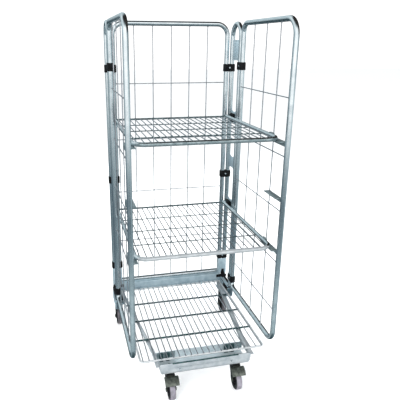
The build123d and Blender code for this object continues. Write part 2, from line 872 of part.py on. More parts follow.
front_x = {"left": -front_wheel_half, "right": front_wheel_half}
rear_x = {"left": -rear_wheel_half, "right": rear_wheel_half}
for side, x in front_x.items():
    nodes["front_fork_" + side] = [front_fork(x)]
    nodes["front_axle_" + side] = [axle(x, front_wheel_y)]
    nodes["front_brake_pedal_" + side] = [brake_pedal(x)]
    nodes["front_wheel_core_" + side] = [wheel_core(x, front_wheel_y)]
    nodes["front_tyre_" + side] = [tyre(x, front_wheel_y)]
for side, x in rear_x.items():
    nodes["rear_wheel_core_" + side] = [wheel_core(x, rear_wheel_y)]
    nodes["rear_tyre_" + side] = [tyre(x, rear_wheel_y)]
nodes["front_swivel_heads"] = [swivel_head(x) for x in front_x.values()]
nodes["front_king_bolts"] = [king_bolt(x) for x in front_x.values()]
nodes["rear_forks"] = [rear_fork(x) for x in rear_x.values()]
nodes["rear_axles"] = [axle(x, rear_wheel_y) for x in rear_x.values()]
nodes["rear_caster_bolts"] = [bolt for x in rear_x.values() for bolt in rear_bolts(x)]

os.makedirs("parts", exist_ok=True)
for name, solids in nodes.items():
    pieces = [piece for solid in solids for piece in solid.solids()]
    export_step(Compound(children=pieces), f"parts/{name}.step")
print(len(nodes), "nodes")
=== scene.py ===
import math

import bpy
from mathutils import Euler, Matrix, Vector


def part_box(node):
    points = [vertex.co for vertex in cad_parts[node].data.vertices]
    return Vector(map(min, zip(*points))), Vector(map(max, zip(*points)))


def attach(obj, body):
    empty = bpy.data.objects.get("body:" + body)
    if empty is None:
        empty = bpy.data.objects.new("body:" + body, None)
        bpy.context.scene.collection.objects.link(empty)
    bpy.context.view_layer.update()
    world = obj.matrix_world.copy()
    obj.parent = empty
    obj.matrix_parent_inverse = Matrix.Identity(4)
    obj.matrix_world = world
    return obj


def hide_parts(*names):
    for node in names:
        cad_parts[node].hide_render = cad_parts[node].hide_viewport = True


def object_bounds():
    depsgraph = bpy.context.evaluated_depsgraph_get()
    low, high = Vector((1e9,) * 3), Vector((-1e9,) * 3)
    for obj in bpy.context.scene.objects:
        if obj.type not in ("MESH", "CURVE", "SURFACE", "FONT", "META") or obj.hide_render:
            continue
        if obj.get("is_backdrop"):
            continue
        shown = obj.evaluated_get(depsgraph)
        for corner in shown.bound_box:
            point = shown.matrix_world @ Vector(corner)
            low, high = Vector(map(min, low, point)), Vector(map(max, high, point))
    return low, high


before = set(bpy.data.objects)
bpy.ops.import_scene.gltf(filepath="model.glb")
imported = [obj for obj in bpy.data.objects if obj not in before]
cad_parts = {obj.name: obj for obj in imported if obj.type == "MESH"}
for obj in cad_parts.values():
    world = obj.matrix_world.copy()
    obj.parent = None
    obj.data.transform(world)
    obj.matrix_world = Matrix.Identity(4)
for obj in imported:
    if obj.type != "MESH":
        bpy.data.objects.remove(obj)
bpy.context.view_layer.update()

# Sizes of the pieces, in metres
tube_r = 0.0125
shelf_tube_r = 0.010
wire_r = 0.0025
rod_r = 0.005
tube_wall = 0.0015
sheet_wall = 0.003
plate_wall = 0.004
side_front_bend = 0.070
side_rear_bend = 0.045
side_low_front_bend = 0.060
side_low_rear_bend = 0.030
back_bend = 0.060
shelf_bend = 0.055
deck_bend = 0.020
wire_pitch = 0.030
clip_pitch = 0.032
clip_reach = 0.015
clip_half_z = 0.0205
weld_r = 0.0034
bed_weld_r = 0.003
rail_weld_r = 0.0042
weld_sink = 0.002
thin_edge = 0.0006
sheet_edge = 0.0007
plate_edge = 0.0008
block_edge = 0.001

# Turns that lay an upright bar along an axis
along_x = (0, math.pi / 2, 0)
along_y = (math.pi / 2, 0, 0)
along_z = (0, 0, 0)

# Places read from the frame
side_low, side_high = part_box("side_panel_frame_right")
panel_x = (side_low.x + side_high.x) / 2
front_y = side_low.y + tube_r
hinge_y = side_high.y - tube_r
rail_low_z = side_low.z + tube_r
rail_top_z = side_high.z - tube_r
post_low, post_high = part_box("rear_post_right")
post_front_y = post_low.y + tube_r
post_back_y = post_high.y - tube_r
post_mid_y = (post_front_y + post_back_y) / 2
back_low, back_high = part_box("back_panel_frame")
back_x = back_high.x - tube_r
back_y = post_back_y
back_rail_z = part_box("back_panel_mesh")[0].z - tube_r


# Finishes
def new_material(name):
    """Material made of nodes, with the tree of its nodes."""
    material = bpy.data.materials.new(name)
    material.use_nodes = True
    return material, material.node_tree


def feed(tree, node, inputs):
    """Sets inputs of a shader node, or links them where an output of another node is given."""
    for key, value in inputs.items():
        if isinstance(value, bpy.types.NodeSocket):
            tree.links.new(value, node.inputs[key])
        else:
            node.inputs[key].default_value = value
    return node


def add_node(tree, kind, inputs):
    """Adds a shader node with its inputs."""
    return feed(tree, tree.nodes.new("ShaderNode" + kind), inputs)


def ramp(tree, source, stops):
    """Adds a run of colours through stops of (place, colour), its two ends first."""
    node = add_node(tree, "ValToRGB", {"Fac": source})
    elements = node.color_ramp.elements
    for i, (place, colour) in enumerate(stops):
        stop = elements[i] if i < 2 else elements.new(place)
        stop.position = place
        stop.color = (*colour, 1.0)
    return node.outputs["Color"]


def finish(name, light, dark, metallic, rough, patch, grain, relief):
    """Surface whose colour and gloss drift in patches, with a fine grain in relief."""
    material, tree = new_material(name)
    place = tree.nodes.new("ShaderNodeTexCoord").outputs["Object"]
    drift = add_node(tree, "TexNoise", {"Vector": place, "Scale": patch, "Detail": 5.0}).outputs["Fac"]
    tint = ramp(tree, drift, ((0.32, dark), (0.68, light)))
    spread = {"Value": drift, "From Min": 0.3, "From Max": 0.7, "To Min": rough[1], "To Max": rough[0]}
    gloss = add_node(tree, "MapRange", spread).outputs["Result"]
    fine = add_node(tree, "TexNoise", {"Vector": place, "Scale": grain, "Detail": 3.0}).outputs["Fac"]
    bump = add_node(tree, "Bump", {"Height": fine, "Strength": relief, "Distance": 0.0006}).outputs["Normal"]
    shader = tree.nodes["Principled BSDF"]
    feed(tree, shader, {"Metallic": metallic, "Base Color": tint, "Roughness": gloss, "Normal": bump})
    return material


# Each: name, colour of light and dark patches, metal share, gloss range, patch scale, grain scale, relief
zinc_tube = finish(
    "bright_zinc_on_tube", (0.80, 0.86, 0.88), (0.64, 0.71, 0.74), 1.0, (0.12, 0.24), 26, 700, 0.05
)
zinc_wire = finish(
    "bright_zinc_on_wire", (0.62, 0.62, 0.65), (0.42, 0.44, 0.47), 1.0, (0.24, 0.40), 34, 800, 0.08
)
bed_wire = finish(
    "dull_zinc_on_bed_wire", (0.60, 0.61, 0.64), (0.38, 0.40, 0.43), 1.0, (0.26, 0.42), 36, 800, 0.08
)
# Darker copy of the bed wire zinc: painted shade on the lower shelf, under the upper one
shaded_bed_wire = finish(
    "painted_shade_zinc_on_bed_wire", (0.32, 0.325, 0.34), (0.19, 0.20, 0.215), 1.0, (0.26, 0.42), 36, 800, 0.08
)
# Paler, less metallic copy of the rod zinc: painted light on the deck rods
lit_deck_rod = finish(
    "painted_light_zinc_on_rod", (0.74, 0.76, 0.77), (0.56, 0.59, 0.61), 0.40, (0.30, 0.46), 34, 700, 0.08
)
# Darker, less metallic copy of the tube zinc: painted shade on the lower shelf's front run
shaded_front_run_zinc = finish(
    "painted_shade_zinc_on_front_run", (0.60, 0.63, 0.65), (0.44, 0.47, 0.49), 0.55, (0.30, 0.46), 34, 700, 0.08
)
# Darker copy of the zinc: painted shade on cross wires, shelf rear rods and the channel's front lip
shade_painted_rod = finish(
    "painted_shade_zinc_on_cross_wire", (0.26, 0.34, 0.36), (0.08, 0.13, 0.14), 1.0, (0.22, 0.38), 40, 800, 0.08
)
zinc_sheet = finish(
    "bright_zinc_on_sheet", (0.56, 0.68, 0.74), (0.38, 0.51, 0.58), 0.60, (0.30, 0.46), 30, 420, 0.10
)
front_sheet = finish(
    "greyer_zinc_on_front_sheet", (0.67, 0.70, 0.72), (0.46, 0.51, 0.545), 0.60, (0.30, 0.46), 30, 420, 0.10
)
# Bright copy of the sheet zinc: painted light on the channel's inside floor and rear wall
lit_inner_sheet = finish(
    "painted_light_inside_channel", (0.86, 0.93, 0.96), (0.70, 0.79, 0.83), 0.55, (0.26, 0.42), 30, 420, 0.10
)
# Dull zinc of the shelf bars and rest plates, also used as painted shade on the upper shelf's front run and
# the clamp plates
bar_zinc_and_painted_shade = finish(
    "dull_zinc_on_bar_and_painted_shade", (0.42, 0.50, 0.52), (0.22, 0.29, 0.31), 0.8, (0.32, 0.50), 44, 500, 0.10
)
caster_zinc = finish(
    "dull_zinc_on_pressed_steel", (0.21, 0.23, 0.20), (0.08, 0.095, 0.085), 0.8, (0.34, 0.50), 70, 600, 0.14
)
# Near-black steel: painted shade on the forks, swivel heads and king bolts under the base
painted_shade_steel = finish(
    "painted_shade_black_steel", (0.024, 0.026, 0.026), (0.008, 0.009, 0.010), 0.3, (0.42, 0.60), 80, 700, 0.12
)
# Dark teal painted shade, for front cross wires, the shadow strip on the channel and the clamps in its
# shaded ends
painted_shade_dark_teal = finish(
    "painted_shade_dark_teal", (0.055, 0.115, 0.120), (0.016, 0.044, 0.048), 0.3, (0.40, 0.58), 60, 600, 0.10
)
black_plastic = finish(
    "black_moulded_plastic", (0.006, 0.007, 0.008), (0.002, 0.002, 0.003), 0.0, (0.42, 0.58), 90, 1500, 0.20
)
wheel_plastic = finish(
    "black_wheel_plastic", (0.012, 0.012, 0.014), (0.005, 0.005, 0.006), 0.0, (0.40, 0.60), 80, 1300, 0.20
)
tyre_side = finish(
    "dark_rubber_side", (0.030, 0.030, 0.034), (0.014, 0.014, 0.016), 0.0, (0.55, 0.75), 70, 1100, 0.30
)
tyre_tread = finish(
    "worn_grey_tread", (0.30, 0.28, 0.33), (0.19, 0.18, 0.21), 0.0, (0.60, 0.80), 55, 900, 0.45
)
# Darker copy of the tread: painted shade on the rear tyres
shaded_rear_tread = finish(
    "painted_shade_on_rear_tread", (0.13, 0.12, 0.135), (0.06, 0.058, 0.066), 0.0, (0.60, 0.80), 55, 900, 0.45
)
for moulded in (black_plastic, wheel_plastic):
    feed(moulded.node_tree, moulded.node_tree.nodes["Principled BSDF"], {"Specular IOR Level": 0.15})


# Modelling steps
def mode(name):
    """Goes to edit mode or back to object mode."""
    bpy.ops.object.mode_set(mode=name)


def deselect():
    """Leaves edit mode and clears the selection."""
    if bpy.context.object and bpy.context.object.mode != "OBJECT":
        mode("OBJECT")
    bpy.ops.object.select_all(action="DESELECT")


def pick(obj):
    """Makes one piece the active and only selected one."""
    deselect()
    bpy.context.view_layer.objects.active = obj
    obj.select_set(True)


def open_edit(obj, kind="VERT"):
    """Edit mode on one piece with nothing selected."""
    pick(obj)
    mode("EDIT")
    bpy.ops.mesh.select_mode(type=kind)
    bpy.ops.mesh.select_all(action="DESELECT")


def select(obj, parts, wanted):
    """Selects the faces, edges or points that a test accepts, in edit mode."""
    bpy.ops.mesh.select_all(action="DESELECT")
    mode("OBJECT")
    for part in getattr(obj.data, parts):
        part.select = wanted(part)
    mode("EDIT")


def select_edges(obj, wanted):
    """Selects the edges whose two ends a test accepts."""
    select(obj, "edges", lambda edge: wanted(*(obj.data.vertices[i].co for i in edge.vertices)))


def take_all():
    """Selects the whole mesh, in edit mode."""
    bpy.ops.mesh.select_all(action="SELECT")


def merge_all(reach):
    """Merges points that lie together, in edit mode, and leaves all selected."""
    take_all()
    bpy.ops.mesh.remove_doubles(threshold=reach)
    take_all()


def outward():
    """Turns all faces outwards, in edit mode."""
    take_all()
    bpy.ops.mesh.normals_make_consistent(inside=False)
    mode("OBJECT")


def turn_out(obj):
    """Turns all faces of a piece outwards."""
    open_edit(obj)
    outward()
    return obj


def settle(obj=None, scale=(1, 1, 1)):
    """Puts the size and place of a piece, or else of the newest shape, into its mesh."""
    obj = obj or bpy.context.object
    pick(obj)
    obj.scale = [a * b for a, b in zip(obj.scale, scale)]
    bpy.ops.object.transform_apply(location=True, rotation=True, scale=True)
    return obj


def apply_modifier(obj, kind, **settings):
    """Adds a modifier, sets it and applies it."""
    pick(obj)
    bpy.ops.object.modifier_add(type=kind)
    modifier = obj.modifiers[-1]
    for key, value in settings.items():
        setattr(modifier, key, value)
    bpy.ops.object.modifier_apply(modifier=modifier.name)
    return obj


def soften(obj, width, segments=2):
    """Rounds the sharp edges of a piece."""
    return apply_modifier(
        obj, "BEVEL", width=width, segments=segments, limit_method="ANGLE",
        angle_limit=math.radians(40), use_clamp_overlap=True,
    )


def cut(obj, cutter):
    """Takes a cutter away from a piece."""
    apply_modifier(obj, "BOOLEAN", operation="DIFFERENCE", object=cutter, solver="EXACT")
    bpy.data.objects.remove(cutter)
    return obj


def row(obj, count, step):
    """Repeats a piece at a steady step."""
    return apply_modifier(
        obj, "ARRAY", count=count, use_relative_offset=False, use_constant_offset=True,
        constant_offset_displace=step,
    )


def join(pieces):
    """Joins several pieces into the first."""
    deselect()
    for piece in pieces:
        piece.select_set(True)
    bpy.context.view_layer.objects.active = pieces[0]
    bpy.ops.object.join()
    return pieces[0]


def copy_of(obj):
    """Copy with its own mesh."""
    pick(obj)
    bpy.ops.object.duplicate(linked=False)
    return bpy.context.object


def mirrored(obj):
    """Copy with its own mesh on the other side of the middle."""
    twin = copy_of(obj)
    twin.scale.x = -1
    return turn_out(settle(twin))


def pull(step):
    """Draws what is selected out along a step."""
    bpy.ops.mesh.extrude_region_move(TRANSFORM_OT_translate={"value": step})


def upright_to(direction):
    """Turn that lays an upright shape along a direction."""
    return Vector((0, 0, 1)).rotation_difference(direction).to_euler()


def tube(corners, bends, radius, sides=24, arc_steps=9):
    """Round tube: a ring drawn along its straight runs and spun round its bends."""
    corners = [Vector(c) for c in corners]
    deselect()
    bpy.ops.mesh.primitive_circle_add(
        vertices=sides, radius=radius, fill_type="NOTHING", location=corners[0],
        rotation=upright_to(corners[1] - corners[0]),
    )
    obj = settle()
    open_edit(obj)
    take_all()
    at = corners[0]
    for before, corner, after, bend in zip(corners, corners[1:], corners[2:], bends):
        back = (before - corner).normalized()
        ahead = (after - corner).normalized()
        turn = math.pi - back.angle(ahead)
        reach = bend * math.tan(turn / 2)
        pull(corner + back * reach - at)
        bpy.ops.mesh.spin(
            steps=arc_steps, angle=-turn, axis=ahead.cross(back).normalized(),
            center=corner + (back + ahead).normalized() * (bend / math.cos(turn / 2)),
        )
        at = corner + ahead * reach
    pull(corners[-1] - at)
    merge_all(1e-5)
    bpy.ops.mesh.fill_holes(sides=0)
    outward()
    return obj


def hollow_ends(obj, wall, depth):
    """Opens the capped ends of a tube."""
    open_edit(obj, "FACE")
    select(obj, "polygons", lambda face: len(face.vertices) > 4)
    bpy.ops.mesh.inset(thickness=wall)
    bpy.ops.mesh.extrude_region_shrink_fatten(TRANSFORM_OT_shrink_fatten={"value": -depth})
    mode("OBJECT")


def wire(start, end, radius=wire_r, sides=10):
    """Straight drawn wire."""
    return tube([start, end], [], radius, sides)


def weld(at, size=weld_r):
    """Small flattened weld."""
    deselect()
    bpy.ops.mesh.primitive_uv_sphere_add(segments=8, ring_count=5, radius=size, location=at)
    return settle(scale=(1, 1, 0.85))


def rough_block(middle, size, turn=(0, 0, 0)):
    """Sharp block, to be shaped further or to cut with."""
    deselect()
    bpy.ops.mesh.primitive_cube_add(size=1, location=middle, rotation=turn, scale=size)
    return settle()


def block(low, high, edge, segments=2):
    """Block between two corners with rounded edges."""
    low, high = Vector(low), Vector(high)
    return soften(rough_block((low + high) / 2, high - low), edge, segments)


def folded(outline, run, wall, bend, onward=None):
    """Sheet folded along an outline and drawn along a run, then onward, with its wall to the right."""
    outline = [Vector(p) for p in outline]
    run = Vector(run)
    first, second = outline[:2]
    along = (second - first).normalized()
    facing = Matrix((along, run.normalized(), along.cross(run).normalized())).transposed().to_euler()
    deselect()
    bpy.ops.mesh.primitive_plane_add(size=1, location=(first + second + run) / 2, rotation=facing)
    obj = settle(scale=((second - first).length, run.length, 1))
    open_edit(obj, "EDGE")

    def fold_line(p, q, at):
        """Whether an edge runs along the sheet from one point of the outline."""
        return min((p - at).length, (q - at).length) < 1e-6 and abs((p - q).length - run.length) < 1e-6

    for at, after in zip(outline[1:], outline[2:]):
        select_edges(obj, lambda p, q: fold_line(p, q, at))
        pull(after - at)
    select_edges(obj, lambda p, q: any(fold_line(p, q, at) for at in outline[1:-1]))
    bpy.ops.mesh.bevel(offset=bend, segments=4, affect="EDGES")
    if onward:
        far = (first + run).dot(run)
        select_edges(obj, lambda p, q: min(p.dot(run), q.dot(run)) > far - 1e-7)
        pull(onward)
    outward()
    start = min(obj.data.polygons, key=lambda face: (face.center - (first + second + run) / 2).length)
    if start.normal.dot(along.cross(run)) < 0:
        wall = -wall
    apply_modifier(obj, "SOLIDIFY", thickness=wall, offset=-1.0, use_even_offset=True)
    return turn_out(obj)


def angle_bar(edge, lip, low_z, high_z, front, rear, wall, bend, onward=None):
    """Angle from front to rear: an upright leg with a lip at its top."""
    outline = [(edge, front, low_z), (edge, front, high_z), (lip, front, high_z)]
    return folded(outline, (0, rear - front, 0), wall, bend, onward)


def turned(outline, middle, axis, steps=48):
    """Piece turned on a lathe: a closed outline of (along, out) points spun round an axis."""
    middle, axis = Vector(middle), Vector(axis).normalized()
    out = axis.orthogonal().normalized()
    points = [middle + axis * along + out * away for along, away in outline]
    deselect()
    bpy.ops.mesh.primitive_circle_add(vertices=3, radius=0.001, fill_type="NOTHING", location=points[0])
    obj = settle()
    open_edit(obj)
    take_all()
    bpy.ops.mesh.merge(type="CENTER")
    for point, after in zip(points, points[1:] + points[:1]):
        pull(after - point)
    merge_all(1e-6)
    bpy.ops.mesh.spin(steps=steps, angle=2 * math.pi, center=middle, axis=axis)
    merge_all(1e-6)
    outward()
    return obj


def stub(middle, turn, radius, length, sides):
    """Short bar round a middle."""
    deselect()
    bpy.ops.mesh.primitive_cylinder_add(
        vertices=sides, radius=radius, depth=length, location=middle, rotation=turn
    )
    return settle()


def drill(obj, middle, turn, radius, length, sides=24):
    """Cuts a round hole."""
    return cut(obj, stub(middle, turn, radius, length, sides))


def hexagon(at, direction, flats, height):
    """Hexagon head or nut with its corners turned off."""
    at, direction = Vector(at), Vector(direction)
    bar = stub(at + direction * (height / 2), upright_to(direction), flats / math.sqrt(3), height, 6)
    return soften(bar, height * 0.16)


def round_head(at, direction, radius, height):
    """Pan head with a hexagon socket."""
    at, direction = Vector(at), Vector(direction)
    turn = upright_to(direction)
    obj = soften(stub(at + direction * (height / 2), turn, radius, height, 18), height * 0.4, 3)
    return drill(obj, at + direction * height, turn, radius * 0.45, height, 6)


def dress(obj, name, material, body, slot, *nodes):
    """Names a finished piece, gives it its finish and joins it to its body."""
    pick(obj)
    obj.name = name
    obj.data.name = name
    obj.data.materials.clear()
    obj.data.materials.append(material)
    bpy.ops.object.shade_smooth_by_angle(angle=math.radians(35))
    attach(obj, body)
    if nodes:
        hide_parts(*nodes)
    return obj


def dress_pair(obj, name, material, slot, node, bodies=("base", "base")):
    """Dresses a piece of the right side and its mirror image on the left."""
    twin = mirrored(obj)
    dress(obj, name + "_right", material, bodies[1], slot, node + "_right")
    dress(twin, name + "_left", material, bodies[0], slot, node + "_left")


def refinish(obj, material, wanted):
    """Gives the faces of a dressed piece that a test on middle and normal accepts a second finish."""
    obj.data.materials.append(material)
    open_edit(obj, "FACE")
    select(obj, "polygons", lambda face: wanted(face.center, face.normal))
    obj.active_material_index = len(obj.data.materials) - 1
    bpy.ops.object.material_slot_assign()
    mode("OBJECT")


def wire_grid(foot, height, step, count, edge, span, row_step, row_count):
    """Upright wires with level wires beside them, welded where they cross and to the tubes round them."""
    foot, edge, span = Vector(foot), Vector(edge), Vector(span)
    rise, row_rise = Vector((0, 0, height)), (0, 0, row_step)
    sink_up, sink_along = rise.normalized() * weld_sink, span.normalized() * weld_sink
    beside = rise.cross(span).normalized()
    crossing = foot + beside * ((edge - foot).dot(beside) / 2)
    crossing.z = edge.z
    return join([
        row(wire(foot - sink_up, foot + rise + sink_up), count, step),
        row(wire(edge - sink_along, edge + span + sink_along), row_count, row_rise),
        row(row(weld(crossing), count, step), row_count, row_rise),
        row(row(weld(foot, rail_weld_r), count, step), 2, rise),
        row(row(weld(edge, rail_weld_r), row_count, row_rise), 2, span),
    ])


both_panels = ("left_panel", "right_panel")

# Side panels
panel_mid_y = (front_y + hinge_y) / 2
side_loop = tube(
    [(panel_x, y, z) for y, z in (
        (panel_mid_y, rail_low_z), (front_y, rail_low_z), (front_y, rail_top_z),
        (hinge_y, rail_top_z), (hinge_y, rail_low_z), (panel_mid_y, rail_low_z),
    )],
    [side_low_front_bend, side_front_bend, side_rear_bend, side_low_rear_bend], tube_r,
)
dress_pair(side_loop, "side_panel_tube", zinc_tube, "zinc_tube", "side_panel_frame", both_panels)

mesh_low, mesh_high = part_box("side_panel_mesh_right")
upright_step = (hinge_y - front_y) / 4
side_row_count = 5
side_row_low_z = rail_low_z + 0.177
side_row_high_z = rail_top_z - 0.3175
dress_pair(
    wire_grid(
        (panel_x, front_y + upright_step, mesh_low.z), mesh_high.z - mesh_low.z, (0, upright_step, 0), 3,
        (panel_x - 2 * wire_r, mesh_low.y, side_row_low_z), (0, mesh_high.y - mesh_low.y, 0),
        (side_row_high_z - side_row_low_z) / (side_row_count - 1), side_row_count,
    ),
    "side_panel_wires", zinc_wire, "zinc_wire", "side_panel_mesh", both_panels,
)

bars_low, bars_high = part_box("side_panel_shelf_bars_right")
bar_height = 0.025
bar_step = (bars_high.z - bars_low.z - bar_height) / 2
bar = angle_bar(
    bars_high.x, bars_low.x, bars_low.z, bars_low.z + bar_height, bars_low.y, bars_high.y, -plate_wall, 0.005
)
bars = row(soften(bar, plate_edge), 3, (0, 0, bar_step))
dress_pair(bars, "shelf_bars", bar_zinc_and_painted_shade, "zinc_sheet", "side_panel_shelf_bars", both_panels)

# Rear posts
post_bend = (post_back_y - post_front_y) / 2
post = tube(
    [(panel_x, y, z) for y, z in (
        (post_front_y, post_low.z), (post_front_y, rail_top_z),
        (post_back_y, rail_top_z), (post_back_y, post_low.z),
    )],
    [post_bend, post_bend], tube_r,
)
dress_pair(post, "rear_post_tube", zinc_tube, "zinc_tube", "rear_post")

top_low, top_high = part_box("post_top_plate_right")
grip = Vector((0, 0.003, 0))
top_cover = block(top_low - grip, top_high + grip, block_edge)
dress_pair(top_cover, "post_top_cover", zinc_sheet, "zinc_sheet", "post_top_plate")


def waisted_plate(low, high, hollow):
    """Plate whose upper and lower edges are drawn in as shallow arcs."""
    middle = (low + high) / 2
    obj = block(low - grip, high + grip, 0.0002, 1)
    half_chord = (high.y - low.y) / 2 - 0.004
    arc_r = (half_chord ** 2 + hollow ** 2) / (2 * hollow)
    for z in (low.z + hollow - arc_r, high.z - hollow + arc_r):
        drill(obj, (middle.x, middle.y, z), along_x, arc_r, 0.03, 120)
    return soften(obj, plate_edge)


hook_low, hook_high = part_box("shelf_hook_plates_right")
hook_height = 0.092
hook_step = (hook_high.z - hook_low.z - hook_height) / 2
hook_hollow = 0.016
hook_top = Vector((hook_high.x, hook_high.y, hook_low.z + hook_height))
hook_plates = row(waisted_plate(hook_low, hook_top, hook_hollow), 3, (0, 0, hook_step))
dress_pair(hook_plates, "shelf_plates", zinc_sheet, "zinc_sheet", "shelf_hook_plates")

pivot_low, pivot_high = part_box("shelf_pivot_blocks_right")
pivot_height = 0.044
pivot_block = block(pivot_low, (pivot_high.x, pivot_high.y, pivot_low.z + pivot_height), 0.004, 3)
pivot_bore_r = 0.0054
drill(pivot_block, (pivot_low.x, post_mid_y, pivot_low.z + pivot_height / 2), along_x, pivot_bore_r, 0.06)
pivot_blocks = row(pivot_block, 2, (0, 0, pivot_high.z - pivot_low.z - pivot_height))
dress_pair(pivot_blocks, "pivot_bearings", black_plastic, "black_plastic", "shelf_pivot_blocks")

# Back panel
back_hoop = tube(
    [(x, back_y, z) for x, z in (
        (-back_x, back_low.z), (-back_x, rail_top_z), (back_x, rail_top_z), (back_x, back_low.z),
    )],
    [back_bend, back_bend], tube_r,
)
back_rail = wire((-back_x, back_y, back_rail_z), (back_x, back_y, back_rail_z), tube_r, 24)
dress(join([back_hoop, back_rail]), "back_panel_tube", zinc_tube, "base", "zinc_tube", "back_panel_frame")

grid_low, grid_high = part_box("back_panel_mesh")
back_pitch = 0.101
back_count = 5
back_row_count = 4
back_row_low_z = back_rail_z + 0.259
back_row_high_z = rail_top_z - 0.3065
back_wires = wire_grid(
    (-back_pitch * (back_count - 1) / 2, back_y, grid_low.z), grid_high.z - grid_low.z,
    (back_pitch, 0, 0), back_count,
    (grid_low.x, back_y - 2 * wire_r, back_row_low_z), (grid_high.x - grid_low.x, 0, 0),
    (back_row_high_z - back_row_low_z) / (back_row_count - 1), back_row_count,
)
dress(back_wires, "back_panel_wires", zinc_wire, "base", "zinc_wire", "back_panel_mesh")


# Clips
def clip(notch):
    """Moulded clip for two tubes that stand side by side along X, with its middle at the origin."""
    corner = Vector((clip_pitch / 2 + clip_reach, clip_reach, clip_half_z))
    obj = block(-corner, corner, 0.0045, 3)
    for side in (-1, 1):
        drill(obj, (side * clip_pitch / 2, 0, 0), along_z, tube_r + 0.00005, 0.08, 32)
        cut(obj, soften(rough_block((0, side * 0.018, 0), (0.015, 0.012, 0.05)), 0.0028, 3))
    if notch:
        cut(obj, rough_block((0, 0, clip_half_z), (0.010, 0.08, 0.010), (0, math.pi / 4, 0)))
    return soften(obj, thin_edge, 1)


def stood(obj, turn, at):
    """Copy of a piece, turned about the upright and set in its place."""
    twin = copy_of(obj)
    twin.rotation_euler = (0, 0, turn)
    twin.location = at
    return settle(twin)


def clip_heights(node, reach=0.054):
    """Middles of the clips of a node, from its own points."""
    heights = [point.co.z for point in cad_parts[node].data.vertices]
    found = []
    for z in heights:
        if all(abs(z - other) > reach for other in found):
            found.append(z)
    groups = [[z for z in heights if abs(z - at) < reach] for at in found]
    return sorted((min(group) + max(group)) / 2 for group in groups)


plain_clip = clip(False)
notched_clip = clip(True)
back_clip_x = (panel_x + back_x) / 2
hinge_clip_y = (post_front_y + hinge_y) / 2
back_heights = clip_heights("back_clips_right")
hinge_heights = clip_heights("hinge_clips_right")
back_clips = join([stood(plain_clip, 0, (back_clip_x, back_y, z)) for z in back_heights])
hinge_clips = join([stood(notched_clip, math.pi / 2, (panel_x, hinge_clip_y, z)) for z in hinge_heights])
dress_pair(back_clips, "back_clip_mouldings", black_plastic, "black_plastic", "back_clips")
dress_pair(hinge_clips, "hinge_clip_mouldings", black_plastic, "black_plastic", "hinge_clips")
bpy.data.objects.remove(plain_clip)
bpy.data.objects.remove(notched_clip)
screw_seat = 0.012
screw_size = (0.005, 0.003)
screws = [round_head((back_clip_x, back_y - screw_seat, z), (0, -1, 0), *screw_size) for z in back_heights]
screw_x = panel_x - screw_seat
screws += [round_head((screw_x, hinge_clip_y, z), (-1, 0, 0), *screw_size) for z in hinge_heights]
dress_pair(join(screws), "clip_screw_heads", zinc_tube, "caster_zinc", "clip_screws")


# Shelves
def bend_stop(x, half, bend):
    """How far a wire stops short of a rail where the rail bends into the side."""
    into = max(abs(x) + wire_r - half + bend, 0)
    return bend - math.sqrt(bend * bend - into * into)


def wire_bed(half, bend, front, rear, z, cross_y, cross_r, cross_half):
    """Wires from front to back with wires across below them, welded where they cross."""
    steps = int((half - wire_r) / wire_pitch)
    straight = int((half - bend - wire_r) / wire_pitch)
    seam_z = z - wire_r
    cross_z = seam_z - cross_r
    pieces = [row(
        wire((-straight * wire_pitch, front, z), (-straight * wire_pitch, rear, z)),
        2 * straight + 1, (wire_pitch, 0, 0),
    )]
    for i in range(straight + 1, steps + 1):
        for x in (-i * wire_pitch, i * wire_pitch):
            pieces.append(wire((x, front + bend_stop(x, half, bend), z), (x, rear, z)))
    for y in cross_y:
        pieces.append(wire((-cross_half, y, cross_z), (cross_half, y, cross_z), cross_r))
        first_weld = weld((-steps * wire_pitch, y, seam_z), bed_weld_r)
        pieces.append(row(first_weld, 2 * steps + 1, (wire_pitch, 0, 0)))
        pieces += [weld((x, y, cross_z), cross_r + 0.0015) for x in (-cross_half, cross_half)]
    return join(pieces)


def flat_hoop(half, front, rear, z, bend, radius, sides=24):
    """Level U of tube or rod, open to the rear."""
    corners = [(-half, rear, z), (-half, front, z), (half, front, z), (half, rear, z)]
    return tube(corners, [bend, bend], radius, sides)


def between(count, low, high):
    """Places that split a span into equal bays."""
    return [low + (high - low) * (i + 1) / (count + 1) for i in range(count)]


def near(at, place):
    """Whether a face lies on a cross wire at a place."""
    return abs(at - place) < 0.012


